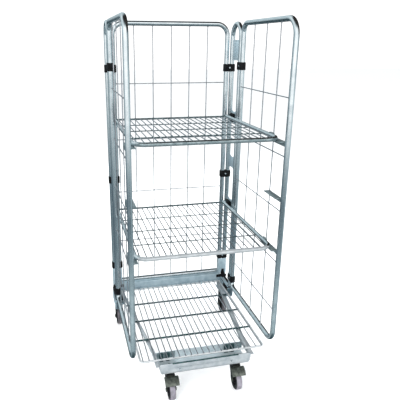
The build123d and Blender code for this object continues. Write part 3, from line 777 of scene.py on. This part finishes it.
for level in ("upper", "lower"):
    body = level + "_shelf"
    low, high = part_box(body + "_frame")
    z = (low.z + high.z) / 2
    half_x = high.x - shelf_tube_r
    shelf_front_y = low.y + shelf_tube_r
    shelf_rod_y = high.y - 0.006
    hoop = flat_hoop(half_x, shelf_front_y, high.y, z, shelf_bend, shelf_tube_r)
    hollow_ends(hoop, tube_wall, 0.02)
    inner = half_x - shelf_tube_r
    rod = wire((-inner - weld_sink, shelf_rod_y, z), (inner + weld_sink, shelf_rod_y, z), rod_r, 16)
    shelf_tube = dress(join([hoop, rod]), body + "_tube", zinc_tube, body, "zinc_tube", body + "_frame")
    # Rear rod of the shelf coloured with painted shade
    refinish(shelf_tube, shade_painted_rod, lambda at, normal: at.y > shelf_rod_y - 0.006 and abs(at.x) < inner)
    front_run_y = low.y + 2 * shelf_tube_r
    if level == "upper":
        # Lower side of the upper shelf's front run: painted shade
        refinish(shelf_tube, bar_zinc_and_painted_shade, lambda at, normal: at.y < front_run_y and normal.z < 0.45)
    else:
        # Front run of the lower shelf coloured with painted shade
        refinish(shelf_tube, shaded_front_run_zinc, lambda at, normal: at.y < front_run_y)
    shelf_cross_y = between(3, shelf_front_y, shelf_rod_y)
    bed = wire_bed(
        inner, shelf_bend - shelf_tube_r, shelf_front_y + shelf_tube_r - weld_sink,
        shelf_rod_y - rod_r + weld_sink, z, shelf_cross_y, wire_r, inner,
    )
    # Lower shelf wires coloured with painted shade
    bed_finish = bed_wire if level == "upper" else shaded_bed_wire
    dress(bed, body + "_wires", bed_finish, body, "zinc_wire", body + "_mesh")
    # Cross wires under the bed coloured with painted shade
    refinish(bed, shade_painted_rod, lambda at, normal: at.z < z - wire_r)
    if level == "upper":
        # Front cross wire of the upper shelf given a darker painted shade
        refinish(bed, painted_shade_dark_teal, lambda at, normal: at.z < z - wire_r and near(at.y, shelf_cross_y[0]))
    pin_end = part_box(body + "_pivot_pins")[1].x
    pins = []
    for side in (-1, 1):
        pin = wire((side * inner, post_mid_y, z), (side * pin_end, post_mid_y, z), rod_r, 20)
        pins.append(soften(pin, thin_edge))
    dress(join(pins), body + "_pins", zinc_tube, body, "zinc_tube", body + "_pivot_pins")
    fold_low, fold_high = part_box(body + "_hooks")
    fold = angle_bar(
        fold_high.x, half_x, fold_low.z, fold_high.z, fold_low.y, fold_high.y, -sheet_wall, 0.004
    )
    fold = soften(fold, plate_edge)
    dress(join([fold, mirrored(fold)]), body + "_rest_plates", bar_zinc_and_painted_shade, body, "zinc_sheet", body + "_hooks")

# Deck
deck_low, deck_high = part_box("deck_frame")
deck_z = (deck_low.z + deck_high.z) / 2
deck_half = deck_high.x - rod_r
deck_front_y = deck_low.y + rod_r
deck_rear_y = deck_high.y - rod_r
deck_hoop = flat_hoop(deck_half, deck_front_y, deck_rear_y, deck_z, deck_bend, rod_r, 16)
deck_rod = wire((-deck_high.x, deck_rear_y, deck_z), (deck_high.x, deck_rear_y, deck_z), rod_r, 16)
deck_loop = join([deck_hoop, soften(deck_rod, plate_edge)])
# Deck rods coloured with painted light
dress(deck_loop, "deck_rods", lit_deck_rod, "deck", "zinc_tube", "deck_frame")
bed_low, bed_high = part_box("deck_mesh")
deck_cross_y = between(3, deck_front_y, deck_rear_y)
deck_inner = deck_half - rod_r
deck_seam_z = deck_z + rod_r
bed = wire_bed(deck_inner, 0, bed_low.y, bed_high.y, deck_seam_z + wire_r, deck_cross_y, rod_r, deck_inner)
deck_steps = int((deck_inner - wire_r) / wire_pitch)
rod_welds = weld((-deck_steps * wire_pitch, deck_front_y, deck_seam_z), bed_weld_r)
rod_welds = row(rod_welds, 2 * deck_steps + 1, (wire_pitch, 0, 0))
rod_welds = row(rod_welds, 2, (0, deck_rear_y - deck_front_y, 0))
deck_bed = dress(join([bed, rod_welds]), "deck_wires", bed_wire, "deck", "zinc_wire", "deck_mesh")
cross_top_z = deck_seam_z - 0.0002
# Deck cross wires coloured with painted shade, the front one darker still
refinish(deck_bed, shade_painted_rod, lambda at, normal: at.z < cross_top_z and abs(at.y) < deck_rear_y - 0.02)
refinish(deck_bed, painted_shade_dark_teal, lambda at, normal: at.z < cross_top_z and near(at.y, deck_cross_y[0]))

eye_low, eye_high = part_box("deck_hinge_eyes")
eye_half = 0.003
eye_outer = deck_rear_y - eye_low.y
eye_corner = 0.001
eye_profile = [
    (-eye_half, rod_r + 0.0001), (-eye_half, eye_outer - eye_corner), (-eye_half + eye_corner, eye_outer),
    (eye_half - eye_corner, eye_outer), (eye_half, eye_outer - eye_corner), (eye_half, rod_r + 0.0001),
]
eyes = []
for side in (-1, 1):
    x = side * (eye_high.x - eye_half)
    eyes.append(turned(eye_profile, (x, deck_rear_y, deck_z), (1, 0, 0), 28))
    eyes.append(block(
        (x - eye_half, deck_rear_y + 0.007, deck_z - 0.004),
        (x + eye_half, eye_high.y, deck_z + 0.004), plate_edge,
    ))
dress(join(eyes), "deck_eyes", zinc_sheet, "base", "zinc_sheet", "deck_hinge_eyes")


# Base
def wheel_middle(node):
    """Middle of a wheel."""
    low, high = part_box(node)
    return (low + high) / 2


channel_low, channel_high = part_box("base_front_channel")
front_lip = 0.009
channel_corner = 0.020
channel_hole_x = 0.130
channel_hole_r = 0.0045
channel_mid_y = (channel_low.y + channel_high.y) / 2
rear_wall_top_z = channel_high.z - front_lip
channel = folded(
    [(channel_low.x, y, z) for y, z in (
        (channel_low.y, channel_high.z), (channel_low.y, channel_low.z),
        (channel_high.y, channel_low.z), (channel_high.y, rear_wall_top_z),
    )],
    (channel_high.x - channel_low.x, 0, 0), sheet_wall, 0.006,
)
for side in (-1, 1):
    end_x = channel_high.x * side
    scrap = rough_block((end_x, channel_mid_y, channel_low.z), (2 * channel_corner, 0.2, 2 * channel_corner))
    bend_middle = (end_x - side * channel_corner, channel_mid_y, channel_low.z + channel_corner)
    cut(channel, drill(scrap, bend_middle, along_y, channel_corner, 0.3, 48))
    hole_middle = (side * channel_hole_x, channel_low.y, (channel_low.z + rear_wall_top_z) / 2)
    drill(channel, hole_middle, along_y, channel_hole_r, 0.02)
dress(soften(channel, sheet_edge), "front_channel", front_sheet, "base", "zinc_sheet", "base_front_channel")
tray_y = channel_low.y + 0.006
# Channel's inside floor and rear wall given painted light
refinish(channel, lit_inner_sheet, lambda at, normal: at.y > tray_y and (normal.z > 0.3 or normal.y < -0.3))
# Top face of the channel's front lip coloured as a painted shadow line
refinish(channel, shade_painted_rod, lambda at, normal: at.y < tray_y and normal.z > 0.7)
# Dark strip along the top of the channel's front face: a painted shadow line under the deck's front rod
strip_half = 0.165
strip_height = 0.006
strip_lap = 0.0006
strip = block(
    (-strip_half, channel_low.y - strip_lap, channel_high.z - strip_height),
    (strip_half, channel_low.y + sheet_wall + strip_lap, channel_high.z + strip_lap), 0.0005,
)
dress(strip, "front_edge_shadow_strip", painted_shade_dark_teal, "base", "caster_zinc")

beam_low, beam_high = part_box("base_rear_channel")
beam = folded(
    [(beam_high.x, y, z) for y, z in (
        (beam_high.y, beam_low.z), (beam_low.y, beam_low.z),
        (beam_low.y, beam_high.z), (beam_high.y, beam_high.z),
    )],
    (beam_low.x - beam_high.x, 0, 0), sheet_wall, 0.005,
)
dress(soften(beam, sheet_edge), "rear_channel", zinc_sheet, "base", "zinc_sheet", "base_rear_channel")

member_low, member_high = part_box("base_side_member_right")
member_width = 0.020
member = angle_bar(
    member_low.x, member_low.x + member_width, member_low.z, member_high.z, member_low.y, channel_high.y,
    sheet_wall, 0.005, (member_high.x - member_width - member_low.x, member_high.y - channel_high.y, 0),
)
dress_pair(soften(member, sheet_edge), "side_member", front_sheet, "zinc_sheet", "base_side_member")

foot_low, foot_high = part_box("foot_bracket_right")
seat_low, seat_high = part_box("foot_seat_right")
foot_width = 0.040
flange_wall = 0.004
flange_half_y = 0.049
rear_wheel = wheel_middle("rear_tyre_right")
box_low = Vector((foot_high.x - foot_width, foot_low.y, foot_low.z + flange_wall))
foot = block(box_low, foot_high, 0.004, 3)
wall = Vector((sheet_wall, 0, sheet_wall))
over = Vector((0, 0.01, 0))
cut(foot, block(box_low + wall - over, foot_high - wall + over, 0.002))
slot_middle = Vector((box_low.x, post_mid_y, (box_low.z + foot_high.z) / 2))
slot_half = Vector((0.01, 0.05, 0.012))
cut(foot, block(slot_middle - slot_half, slot_middle + slot_half, 0.006, 4))
flange = block(
    (foot_low.x, rear_wheel.y - flange_half_y, foot_low.z),
    (foot_high.x, rear_wheel.y + flange_half_y, foot_low.z + flange_wall), block_edge,
)
tread_low_z, tread_high_z = seat_high.z - 0.001, seat_high.z + 0.0015
tread_plate = block(
    (seat_low.x + 0.0005, seat_low.y + 0.001, tread_low_z),
    (panel_x - tube_r - 0.0015, seat_high.y - 0.014, tread_high_z), thin_edge,
)
step_plate = block(
    (panel_x - tube_r - 0.002, post_front_y + tube_r + 0.002, tread_low_z),
    (panel_x - 0.002, post_back_y - tube_r - 0.005, tread_high_z), thin_edge,
)
leg_y = post_back_y - tube_r
leg_lap = 0.011
post_plate = block(
    (back_x - leg_lap, leg_y - 0.002, seat_high.z + 0.034),
    (panel_x + leg_lap, leg_y + 0.0004, back_heights[0] - 0.022), plate_edge,
)
foot_box = join([soften(foot, thin_edge, 1), flange, tread_plate, step_plate, post_plate])
dress_pair(foot_box, "foot_box", zinc_sheet, "zinc_sheet", "foot_bracket")
skirt = block(
    (box_low.x - 0.003, seat_low.y + 0.001, seat_low.z - 0.021),
    (seat_low.x + 0.003, seat_low.y + 0.066, seat_high.z - 0.002), block_edge,
)
strap_x = 0.297
strap = block(
    (strap_x, leg_y - 0.004, seat_high.z + 0.006), (foot_high.x, leg_y + 0.0003, seat_high.z + 0.024), 0.0015
)
peak_x = 0.337
peak_taper = 0.45
peak = rough_block((peak_x, leg_y - 0.0018, seat_high.z + 0.042), (0.030, 0.0040, 0.040))
open_edit(peak, "FACE")
select(peak, "polygons", lambda face: face.normal.z > 0.9)
bpy.ops.transform.resize(value=(peak_taper, 1, 1), center_override=(peak_x, 0, 0))
mode("OBJECT")
pad = join([block(seat_low, seat_high, 0.0018, 3), skirt, strap, soften(peak, block_edge)])
dress_pair(pad, "foot_pad", black_plastic, "black_plastic", "foot_seat")

# Casters
wheel_low, wheel_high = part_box("front_tyre_right")
wheel_r = (wheel_high.z - wheel_low.z) / 2
tyre_half = (wheel_high.x - wheel_low.x) / 2
core_r = 0.036
hub_half = 0.017
axle_r = 0.006
fork_wall = 0.004
fork_half = hub_half + 0.0003
fork_outer = fork_half + fork_wall
tread_depth = 0.0022
axle_flats, axle_head = 0.018, 0.005
washer_r, washer_wall = 0.0102, 0.0012
brake_pin_r, brake_pin_z = 0.003, 0.114
tongue_half = 0.015
king_r, king_flats, king_head = 0.007, 0.022, 0.008


def turned_pair(half, middle, steps):
    """Wheel piece turned from the outline of one half and its mirror image."""
    return turned(half + [(-along, out) for along, out in reversed(half)], middle, (1, 0, 0), steps)


def tyre(middle):
    """Rubber tyre with round shoulders and a slightly crowned tread."""
    half = [
        (tyre_half - 0.002, core_r), (tyre_half, core_r + 0.003), (tyre_half, wheel_r - 0.0060),
        (tyre_half - 0.0006, wheel_r - 0.0036), (tyre_half - 0.0022, wheel_r - 0.0016),
        (tyre_half - 0.0048, wheel_r - 0.0005), (0.004, wheel_r),
    ]
    return turned_pair(half, middle, 72)


def wheel_core(middle):
    """Moulded wheel centre: rim, dished web with ribs, and hub."""
    half = [
        (hub_half, axle_r + 0.0001), (hub_half, 0.0130), (hub_half - 0.0015, 0.0150), (0.0075, 0.0160),
        (0.0065, 0.0175), (0.0065, 0.0270), (0.0080, 0.0290), (0.0120, 0.0300), (0.0130, 0.0310),
        (0.0130, core_r),
    ]
    pieces = [turned_pair(half, middle, 60)]
    rib = block(middle + Vector((-0.011, -0.0017, 0.0135)), middle + Vector((0.011, 0.0017, 0.0305)), 0.001)
    for i in range(8):
        spoke = copy_of(rib)
        about = Matrix.Rotation(i * math.pi / 4, 4, "X")
        spoke.matrix_world = Matrix.Translation(middle) @ about @ Matrix.Translation(-middle)
        pieces.append(settle(spoke))
    bpy.data.objects.remove(rib)
    return join(pieces)


def fork(top, wheel):
    """Pressed fork: a bridge plate folded down into two legs that narrow to a round foot at the axle."""
    half_top = 0.026
    foot_r = 0.014
    deselect()
    bpy.ops.mesh.primitive_plane_add(size=2, location=top)
    obj = settle(scale=(fork_outer, half_top, 1))
    open_edit(obj, "EDGE")
    for side in (-1, 1):
        select_edges(obj, lambda a, b, side=side: all(
            abs(p.x - top.x - side * fork_outer) < 1e-6 and abs(p.z - top.z) < 1e-6 for p in (a, b)))
        pull((0, wheel.y - top.y, wheel.z - foot_r - top.z))
        bpy.ops.transform.resize(
            value=(1, foot_r / half_top, 1),
            center_override=(top.x + side * fork_outer, wheel.y, wheel.z - foot_r),
        )
    bpy.ops.mesh.select_mode(type="VERT")
    select(obj, "vertices", lambda point: point.co.z < wheel.z)
    bpy.ops.mesh.bevel(offset=foot_r * 0.96, segments=8, affect="VERTICES")
    bpy.ops.mesh.select_mode(type="EDGE")
    select_edges(obj, lambda a, b: max(abs(a.z - top.z), abs(b.z - top.z), abs(a.x - b.x)) < 1e-6)
    bpy.ops.mesh.bevel(offset=0.006, segments=4, affect="EDGES")
    outward()
    apply_modifier(obj, "SOLIDIFY", thickness=fork_wall, offset=-1.0, use_even_offset=True)
    return soften(turn_out(obj), plate_edge)


def axle(middle):
    """Axle bolt with a hexagon and a washer at both ends."""
    reach = Vector((fork_outer, 0, 0))
    pieces = [wire(middle - reach, middle + reach, axle_r, 24)]
    for side in (-1, 1):
        end, face = middle + reach * side, side * washer_wall
        pieces.append(hexagon(end, (side, 0, 0), axle_flats, axle_head))
        washer = [(0, axle_r), (0, washer_r), (face, washer_r), (face, axle_r)]
        pieces.append(turned(washer, end, (1, 0, 0), 28))
    return join(pieces)


def brake_pedal(side):
    """Pressed pedal on a pin through the fork: a tongue between the legs and a wide, curved tread."""
    low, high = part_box("front_brake_pedal_" + side)
    x = (low.x + high.x) / 2
    pin_y, pin_z = high.y - 0.006, brake_pin_z
    half = (high.x - low.x) / 2
    curve = [(0.0, 0.0), (-0.009, 0.0005), (-0.022, -0.0055), (-0.033, -0.0150), (-0.041, -0.0265)]
    root = Vector((x - half, pin_y - 0.015, high.z))
    tread = folded([root + Vector((0, y, z)) for y, z in curve], (2 * half, 0, 0), sheet_wall, 0.0035)
    tongue = folded(
        [(x - tongue_half, y, z) for y, z in
         ((high.y, pin_z + 0.0015), (pin_y - 0.008, pin_z + 0.0015), (pin_y - 0.016, high.z))],
        (2 * tongue_half, 0, 0), sheet_wall, 0.002,
    )
    pin = wire((x - fork_outer, pin_y, pin_z), (x + fork_outer, pin_y, pin_z), brake_pin_r, 16)
    return join([soften(tread, 0.0009), soften(tongue, sheet_edge), soften(pin, 0.0005)])


def dress_wheel(end, side, tread):
    """Dresses the tyre and the centre of a wheel, and returns the wheel's middle."""
    middle = wheel_middle(f"{end}_tyre_{side}")
    body = f"{end}_wheel_{side}"
    rubber = dress(tyre(middle), f"{end}_tyre_rubber_{side}", tyre_side, body, "tyre", f"{end}_tyre_{side}")
    refinish(rubber, tread, lambda at, normal: (at - middle).yz.length > wheel_r - tread_depth)
    dress(
        wheel_core(middle), f"{end}_wheel_centre_{side}", wheel_plastic, body, "wheel_plastic",
        f"{end}_wheel_core_{side}",
    )
    return middle


swivel_low, swivel_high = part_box("front_swivel_heads")
swivel_y = (swivel_low.y + swivel_high.y) / 2
head_profile = [
    (0.0, 0.0075), (0.0, 0.0350), (-0.0015, 0.0360), (-0.0055, 0.0360), (-0.0070, 0.0345),
    (-0.0075, 0.0290), (-0.0105, 0.0262), (-0.0120, 0.0270), (-0.0185, 0.0280), (-0.0225, 0.0275),
    (-0.0247, 0.0255), (-0.0247, 0.0075),
]
bolt_low, bolt_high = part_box("front_king_bolts")
tray_z = channel_low.z + sheet_wall
wall_y = channel_high.y - sheet_wall
clamp_shift = -0.016
clamp_half_pitch = 0.0165
clamp_half_x, clamp_depth, clamp_height = 0.010, 0.014, 0.043
clamp_bolt_z = tray_z + 0.022
clamp_plate_ends = (0.130, 0.221)
clamp_sink = 0.0003
heads, kings, clamps, clamp_plates = [], [], [], []
for side in ("left", "right"):
    middle = dress_wheel("front", side, tyre_tread)
    caster = "front_caster_" + side
    bridge = Vector((middle.x, swivel_y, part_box("front_fork_" + side)[1].z))
    # Fork coloured with painted shade
    dress(
        fork(bridge, middle), "front_fork_pressing_" + side, painted_shade_steel, caster, "caster_zinc",
        "front_fork_" + side,
    )
    dress(axle(middle), "front_axle_bolt_" + side, caster_zinc, caster, "caster_zinc", "front_axle_" + side)
    dress(
        brake_pedal(side), "brake_pedal_pressing_" + side, caster_zinc, "front_brake_" + side, "caster_zinc",
        "front_brake_pedal_" + side,
    )
    heads.append(turned(head_profile, (middle.x, swivel_y, swivel_high.z), (0, 0, 1), 48))
    start_x, end_x = sorted(math.copysign(x, middle.x) for x in clamp_plate_ends)
    clamp_plates.append(block(
        (start_x, wall_y - 0.003, tray_z + 0.012),
        (end_x, wall_y + clamp_sink, rear_wall_top_z - 0.001), plate_edge,
    ))
    for i in (-1, 1):
        x = middle.x + clamp_shift + i * clamp_half_pitch
        clamps.append(block(
            (x - clamp_half_x, wall_y - clamp_depth, tray_z - clamp_sink),
            (x + clamp_half_x, wall_y + clamp_sink, tray_z + clamp_height), 0.003,
        ))
        clamps.append(hexagon((x, wall_y - clamp_depth, clamp_bolt_z), (0, -1, 0), 0.013, 0.005))
    shank_low, shank_high = ((middle.x, swivel_y, z) for z in (bolt_low.z + 0.002, bolt_high.z))
    kings.append(wire(shank_low, shank_high, king_r, 20))
    kings.append(hexagon((middle.x, swivel_y, bolt_high.z - king_head), (0, 0, 1), king_flats, king_head))
    kings.append(hexagon((middle.x, swivel_y, bolt_low.z + king_head), (0, 0, -1), king_flats, king_head))
# Swivel heads and king bolts coloured with painted shade
dress(join(heads), "swivel_heads", painted_shade_steel, "base", "caster_zinc", "front_swivel_heads")
dress(join(kings), "king_bolts", painted_shade_steel, "base", "caster_zinc", "front_king_bolts")
# Clamps and plates darker than the channel: painted shade at the ends of the channel's inside
dress(join(clamps), "caster_clamps", painted_shade_dark_teal, "base", "caster_zinc")
dress(join(clamp_plates), "clamp_plates", bar_zinc_and_painted_shade, "base", "zinc_sheet")

rear_forks, rear_axles, rear_bolts = [], [], []
plate_low, plate_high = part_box("rear_forks")
plate_half_x = 0.028
plate_under_z = plate_high.z - plate_wall
bolt_x, bolt_y = 0.014, 0.038
for side in ("left", "right"):
    # Rear treads coloured with painted shade
    middle = dress_wheel("rear", side, shaded_rear_tread)
    rear_forks.append(fork(Vector((middle.x, middle.y, plate_high.z - 0.001)), middle))
    rear_forks.append(block(
        (middle.x - plate_half_x, plate_low.y, plate_under_z),
        (middle.x + plate_half_x, plate_high.y, plate_high.z), block_edge,
    ))
    rear_axles.append(axle(middle))
    for i in (-1, 1):
        for j in (-1, 1):
            bolt_at = (middle.x + i * bolt_x, middle.y + j * bolt_y, plate_under_z)
            rear_bolts.append(hexagon(bolt_at, (0, 0, -1), 0.013, 0.005))
# Rear forks coloured with painted shade
dress(join(rear_forks), "rear_fork_pressings", painted_shade_steel, "base", "caster_zinc", "rear_forks")
dress(join(rear_axles), "rear_axle_bolts", caster_zinc, "base", "caster_zinc", "rear_axles")
dress(join(rear_bolts), "rear_plate_bolts", caster_zinc, "base", "caster_zinc", "rear_caster_bolts")

# Floor
deselect()
bpy.ops.mesh.primitive_plane_add(size=60, location=(0, 0, 0))
floor = bpy.context.object
floor.name = "floor"
floor_finish, floor_tree = new_material("pale_floor")
feed(floor_tree, floor_tree.nodes["Principled BSDF"], {
    "Base Color": (0.93, 0.93, 0.93, 1.0), "Roughness": 0.9,
    "Emission Color": (1.0, 1.0, 1.0, 1.0), "Emission Strength": 0.17,
})
floor.data.materials.append(floor_finish)
floor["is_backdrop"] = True

# Light
world = bpy.data.worlds.new("studio")
bpy.context.scene.world = world
world.use_nodes = True
sky = world.node_tree
direction = sky.nodes.new("ShaderNodeTexCoord").outputs["Generated"]
split = add_node(sky, "SeparateXYZ", {"Vector": direction})
shade = ramp(sky, split.outputs["Z"], ((0.10, (1.0, 1.0, 1.0)), (0.80, (0.66, 0.69, 0.71))))
feed(sky, sky.nodes["Background"], {"Strength": 1.25, "Color": shade})


def reflection_tent():
    """Round tent that only shows in polished metal, with bands of light that differ from side to side."""
    deselect()
    bpy.ops.mesh.primitive_uv_sphere_add(segments=48, ring_count=24, radius=40.0, location=(0, 0, 0))
    tent = bpy.context.object
    tent.name = "reflection_tent"
    glow_finish, tree = new_material("tent_glow")
    tree.nodes.remove(tree.nodes["Principled BSDF"])
    place = tree.nodes.new("ShaderNodeTexCoord").outputs["Object"]
    unit = add_node(tree, "VectorMath", {0: place})
    unit.operation = "NORMALIZE"
    split = add_node(tree, "SeparateXYZ", {"Vector": unit.outputs["Vector"]})
    height = add_node(tree, "MapRange", {"Value": split.outputs["Z"], "From Min": -1.0})

    def column(bands):
        """Colours from the floor to the top of the tent."""
        ends = [(-1.0, dark_teal), (1.0, brown_black)]
        return ramp(tree, height.outputs["Result"], [((z + 1) / 2, colour) for z, colour in ends + bands])

    def turn_into(first, second, way, start, end):
        """One column that passes into the next one as the direction turns."""
        towards = add_node(tree, "VectorMath", {0: unit.outputs["Vector"], 1: way})
        towards.operation = "DOT_PRODUCT"
        facing = towards.outputs["Value"]
        share = add_node(tree, "MapRange", {"Value": facing, "From Min": start, "From Max": end})
        share.interpolation_type = "SMOOTHSTEP"
        mix = tree.nodes.new("ShaderNodeMix")
        mix.data_type = "RGBA"
        feed(tree, mix, {"Factor": share.outputs["Result"], "A": first, "B": second})
        return mix.outputs["Result"]

    flanks = turn_into(column(tent_left), column(tent_right), tent_side, -0.15, 0.15)
    behind = turn_into(column(tent_behind), column(tent_behind_right), tent_side, -0.05, 0.20)
    around = turn_into(behind, flanks, tent_front, -0.80, -0.45)
    around = turn_into(around, column(tent_ahead), tent_front, 0.30, 0.70)
    glow = add_node(tree, "Emission", {"Color": around}).outputs["Emission"]
    feed(tree, tree.nodes["Material Output"], {"Surface": glow})
    tent.data.materials.append(glow_finish)
    tent.visible_camera = tent.visible_diffuse = tent.visible_shadow = tent.visible_transmission = False
    tent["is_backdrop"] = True


# Heights run from -1 at the floor to 1 overhead
tent_front = (-0.27, -0.96, 0)
tent_side = (0.96, -0.27, 0)
white = (1.25, 1.25, 1.25)
pale = (0.92, 0.95, 0.96)
light_teal = (0.66, 0.77, 0.81)
mid_teal = (0.42, 0.50, 0.53)
grey_teal = (0.27, 0.35, 0.38)
dim_teal = (0.12, 0.165, 0.195)
dark_teal = (0.040, 0.068, 0.078)
brown_black = (0.022, 0.018, 0.016)
tent_ahead = [
    (-0.78, dark_teal), (-0.66, grey_teal), (-0.57, light_teal), (-0.51, mid_teal), (-0.43, grey_teal),
    (-0.365, dim_teal), (-0.29, dim_teal), (-0.22, grey_teal), (-0.10, pale), (-0.04, white), (0.62, white),
    (0.80, mid_teal), (0.88, brown_black),
]
tent_left = [
    (-0.66, grey_teal), (-0.52, mid_teal), (-0.40, dim_teal), (-0.24, dim_teal), (-0.12, mid_teal),
    (0.10, mid_teal), (0.30, light_teal), (0.70, pale), (0.84, mid_teal), (0.92, brown_black),
]
tent_right = [
    (-0.66, grey_teal), (-0.50, mid_teal), (-0.36, grey_teal), (-0.22, mid_teal), (-0.08, light_teal),
    (0.06, mid_teal), (0.22, dim_teal), (0.32, brown_black),
]
tent_behind = [
    (-0.44, dark_teal), (-0.08, dark_teal), (0.02, dim_teal), (0.10, mid_teal), (0.50, light_teal),
    (0.72, mid_teal), (0.86, brown_black),
]
tent_behind_right = [(-0.30, dark_teal), (0.20, brown_black)]
reflection_tent()
floor.visible_glossy = False


def softbox(name, at, aim, size, power, colour):
    """Square area light aimed at a point."""
    bpy.ops.object.light_add(type="AREA", location=at)
    lamp = bpy.context.object
    lamp.name = name
    lamp.data.shape = "SQUARE"
    lamp.data.size = size
    lamp.data.energy = power
    lamp.data.color = colour
    lamp.rotation_euler = (Vector(aim) - Vector(at)).to_track_quat("-Z", "Y").to_euler()
    lamp.visible_glossy = False


cage_middle = (0, 0, 0.9)
softbox("key_softbox", (-2.6, -3.2, 3.6), cage_middle, 2.2, 160, (1.0, 0.99, 0.97))
softbox("fill_softbox", (3.4, -1.6, 2.6), cage_middle, 2.4, 70, (0.94, 0.98, 1.0))
softbox("back_softbox", (0.6, 3.6, 3.4), cage_middle, 2.6, 110, (0.96, 0.99, 1.0))

# Camera at the photograph's viewing angle
yaw, pitch, roll = (math.radians(a) for a in (12.93, 18.25, 0.19))
camera_turn = Euler((math.pi / 2 - pitch, 0, -yaw)).to_matrix() @ Matrix.Rotation(roll, 3, "Z")
camera_at = (-0.5988, -2.2247, 1.6472)
deselect()
bpy.ops.object.camera_add()
camera = bpy.context.object
camera.matrix_world = Matrix.Translation(camera_at) @ camera_turn.to_4x4()
frame_px = 400
focal_px = 475.8
shift_px = (28.8, 0.8)
sensor_mm = 36
camera.data.sensor_width = sensor_mm
camera.data.lens = sensor_mm * focal_px / frame_px
camera.data.shift_x = shift_px[0] / frame_px
camera.data.shift_y = shift_px[1] / frame_px
bpy.context.scene.camera = camera
bpy.context.scene.view_settings.view_transform = "Standard"

deselect()
low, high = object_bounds()
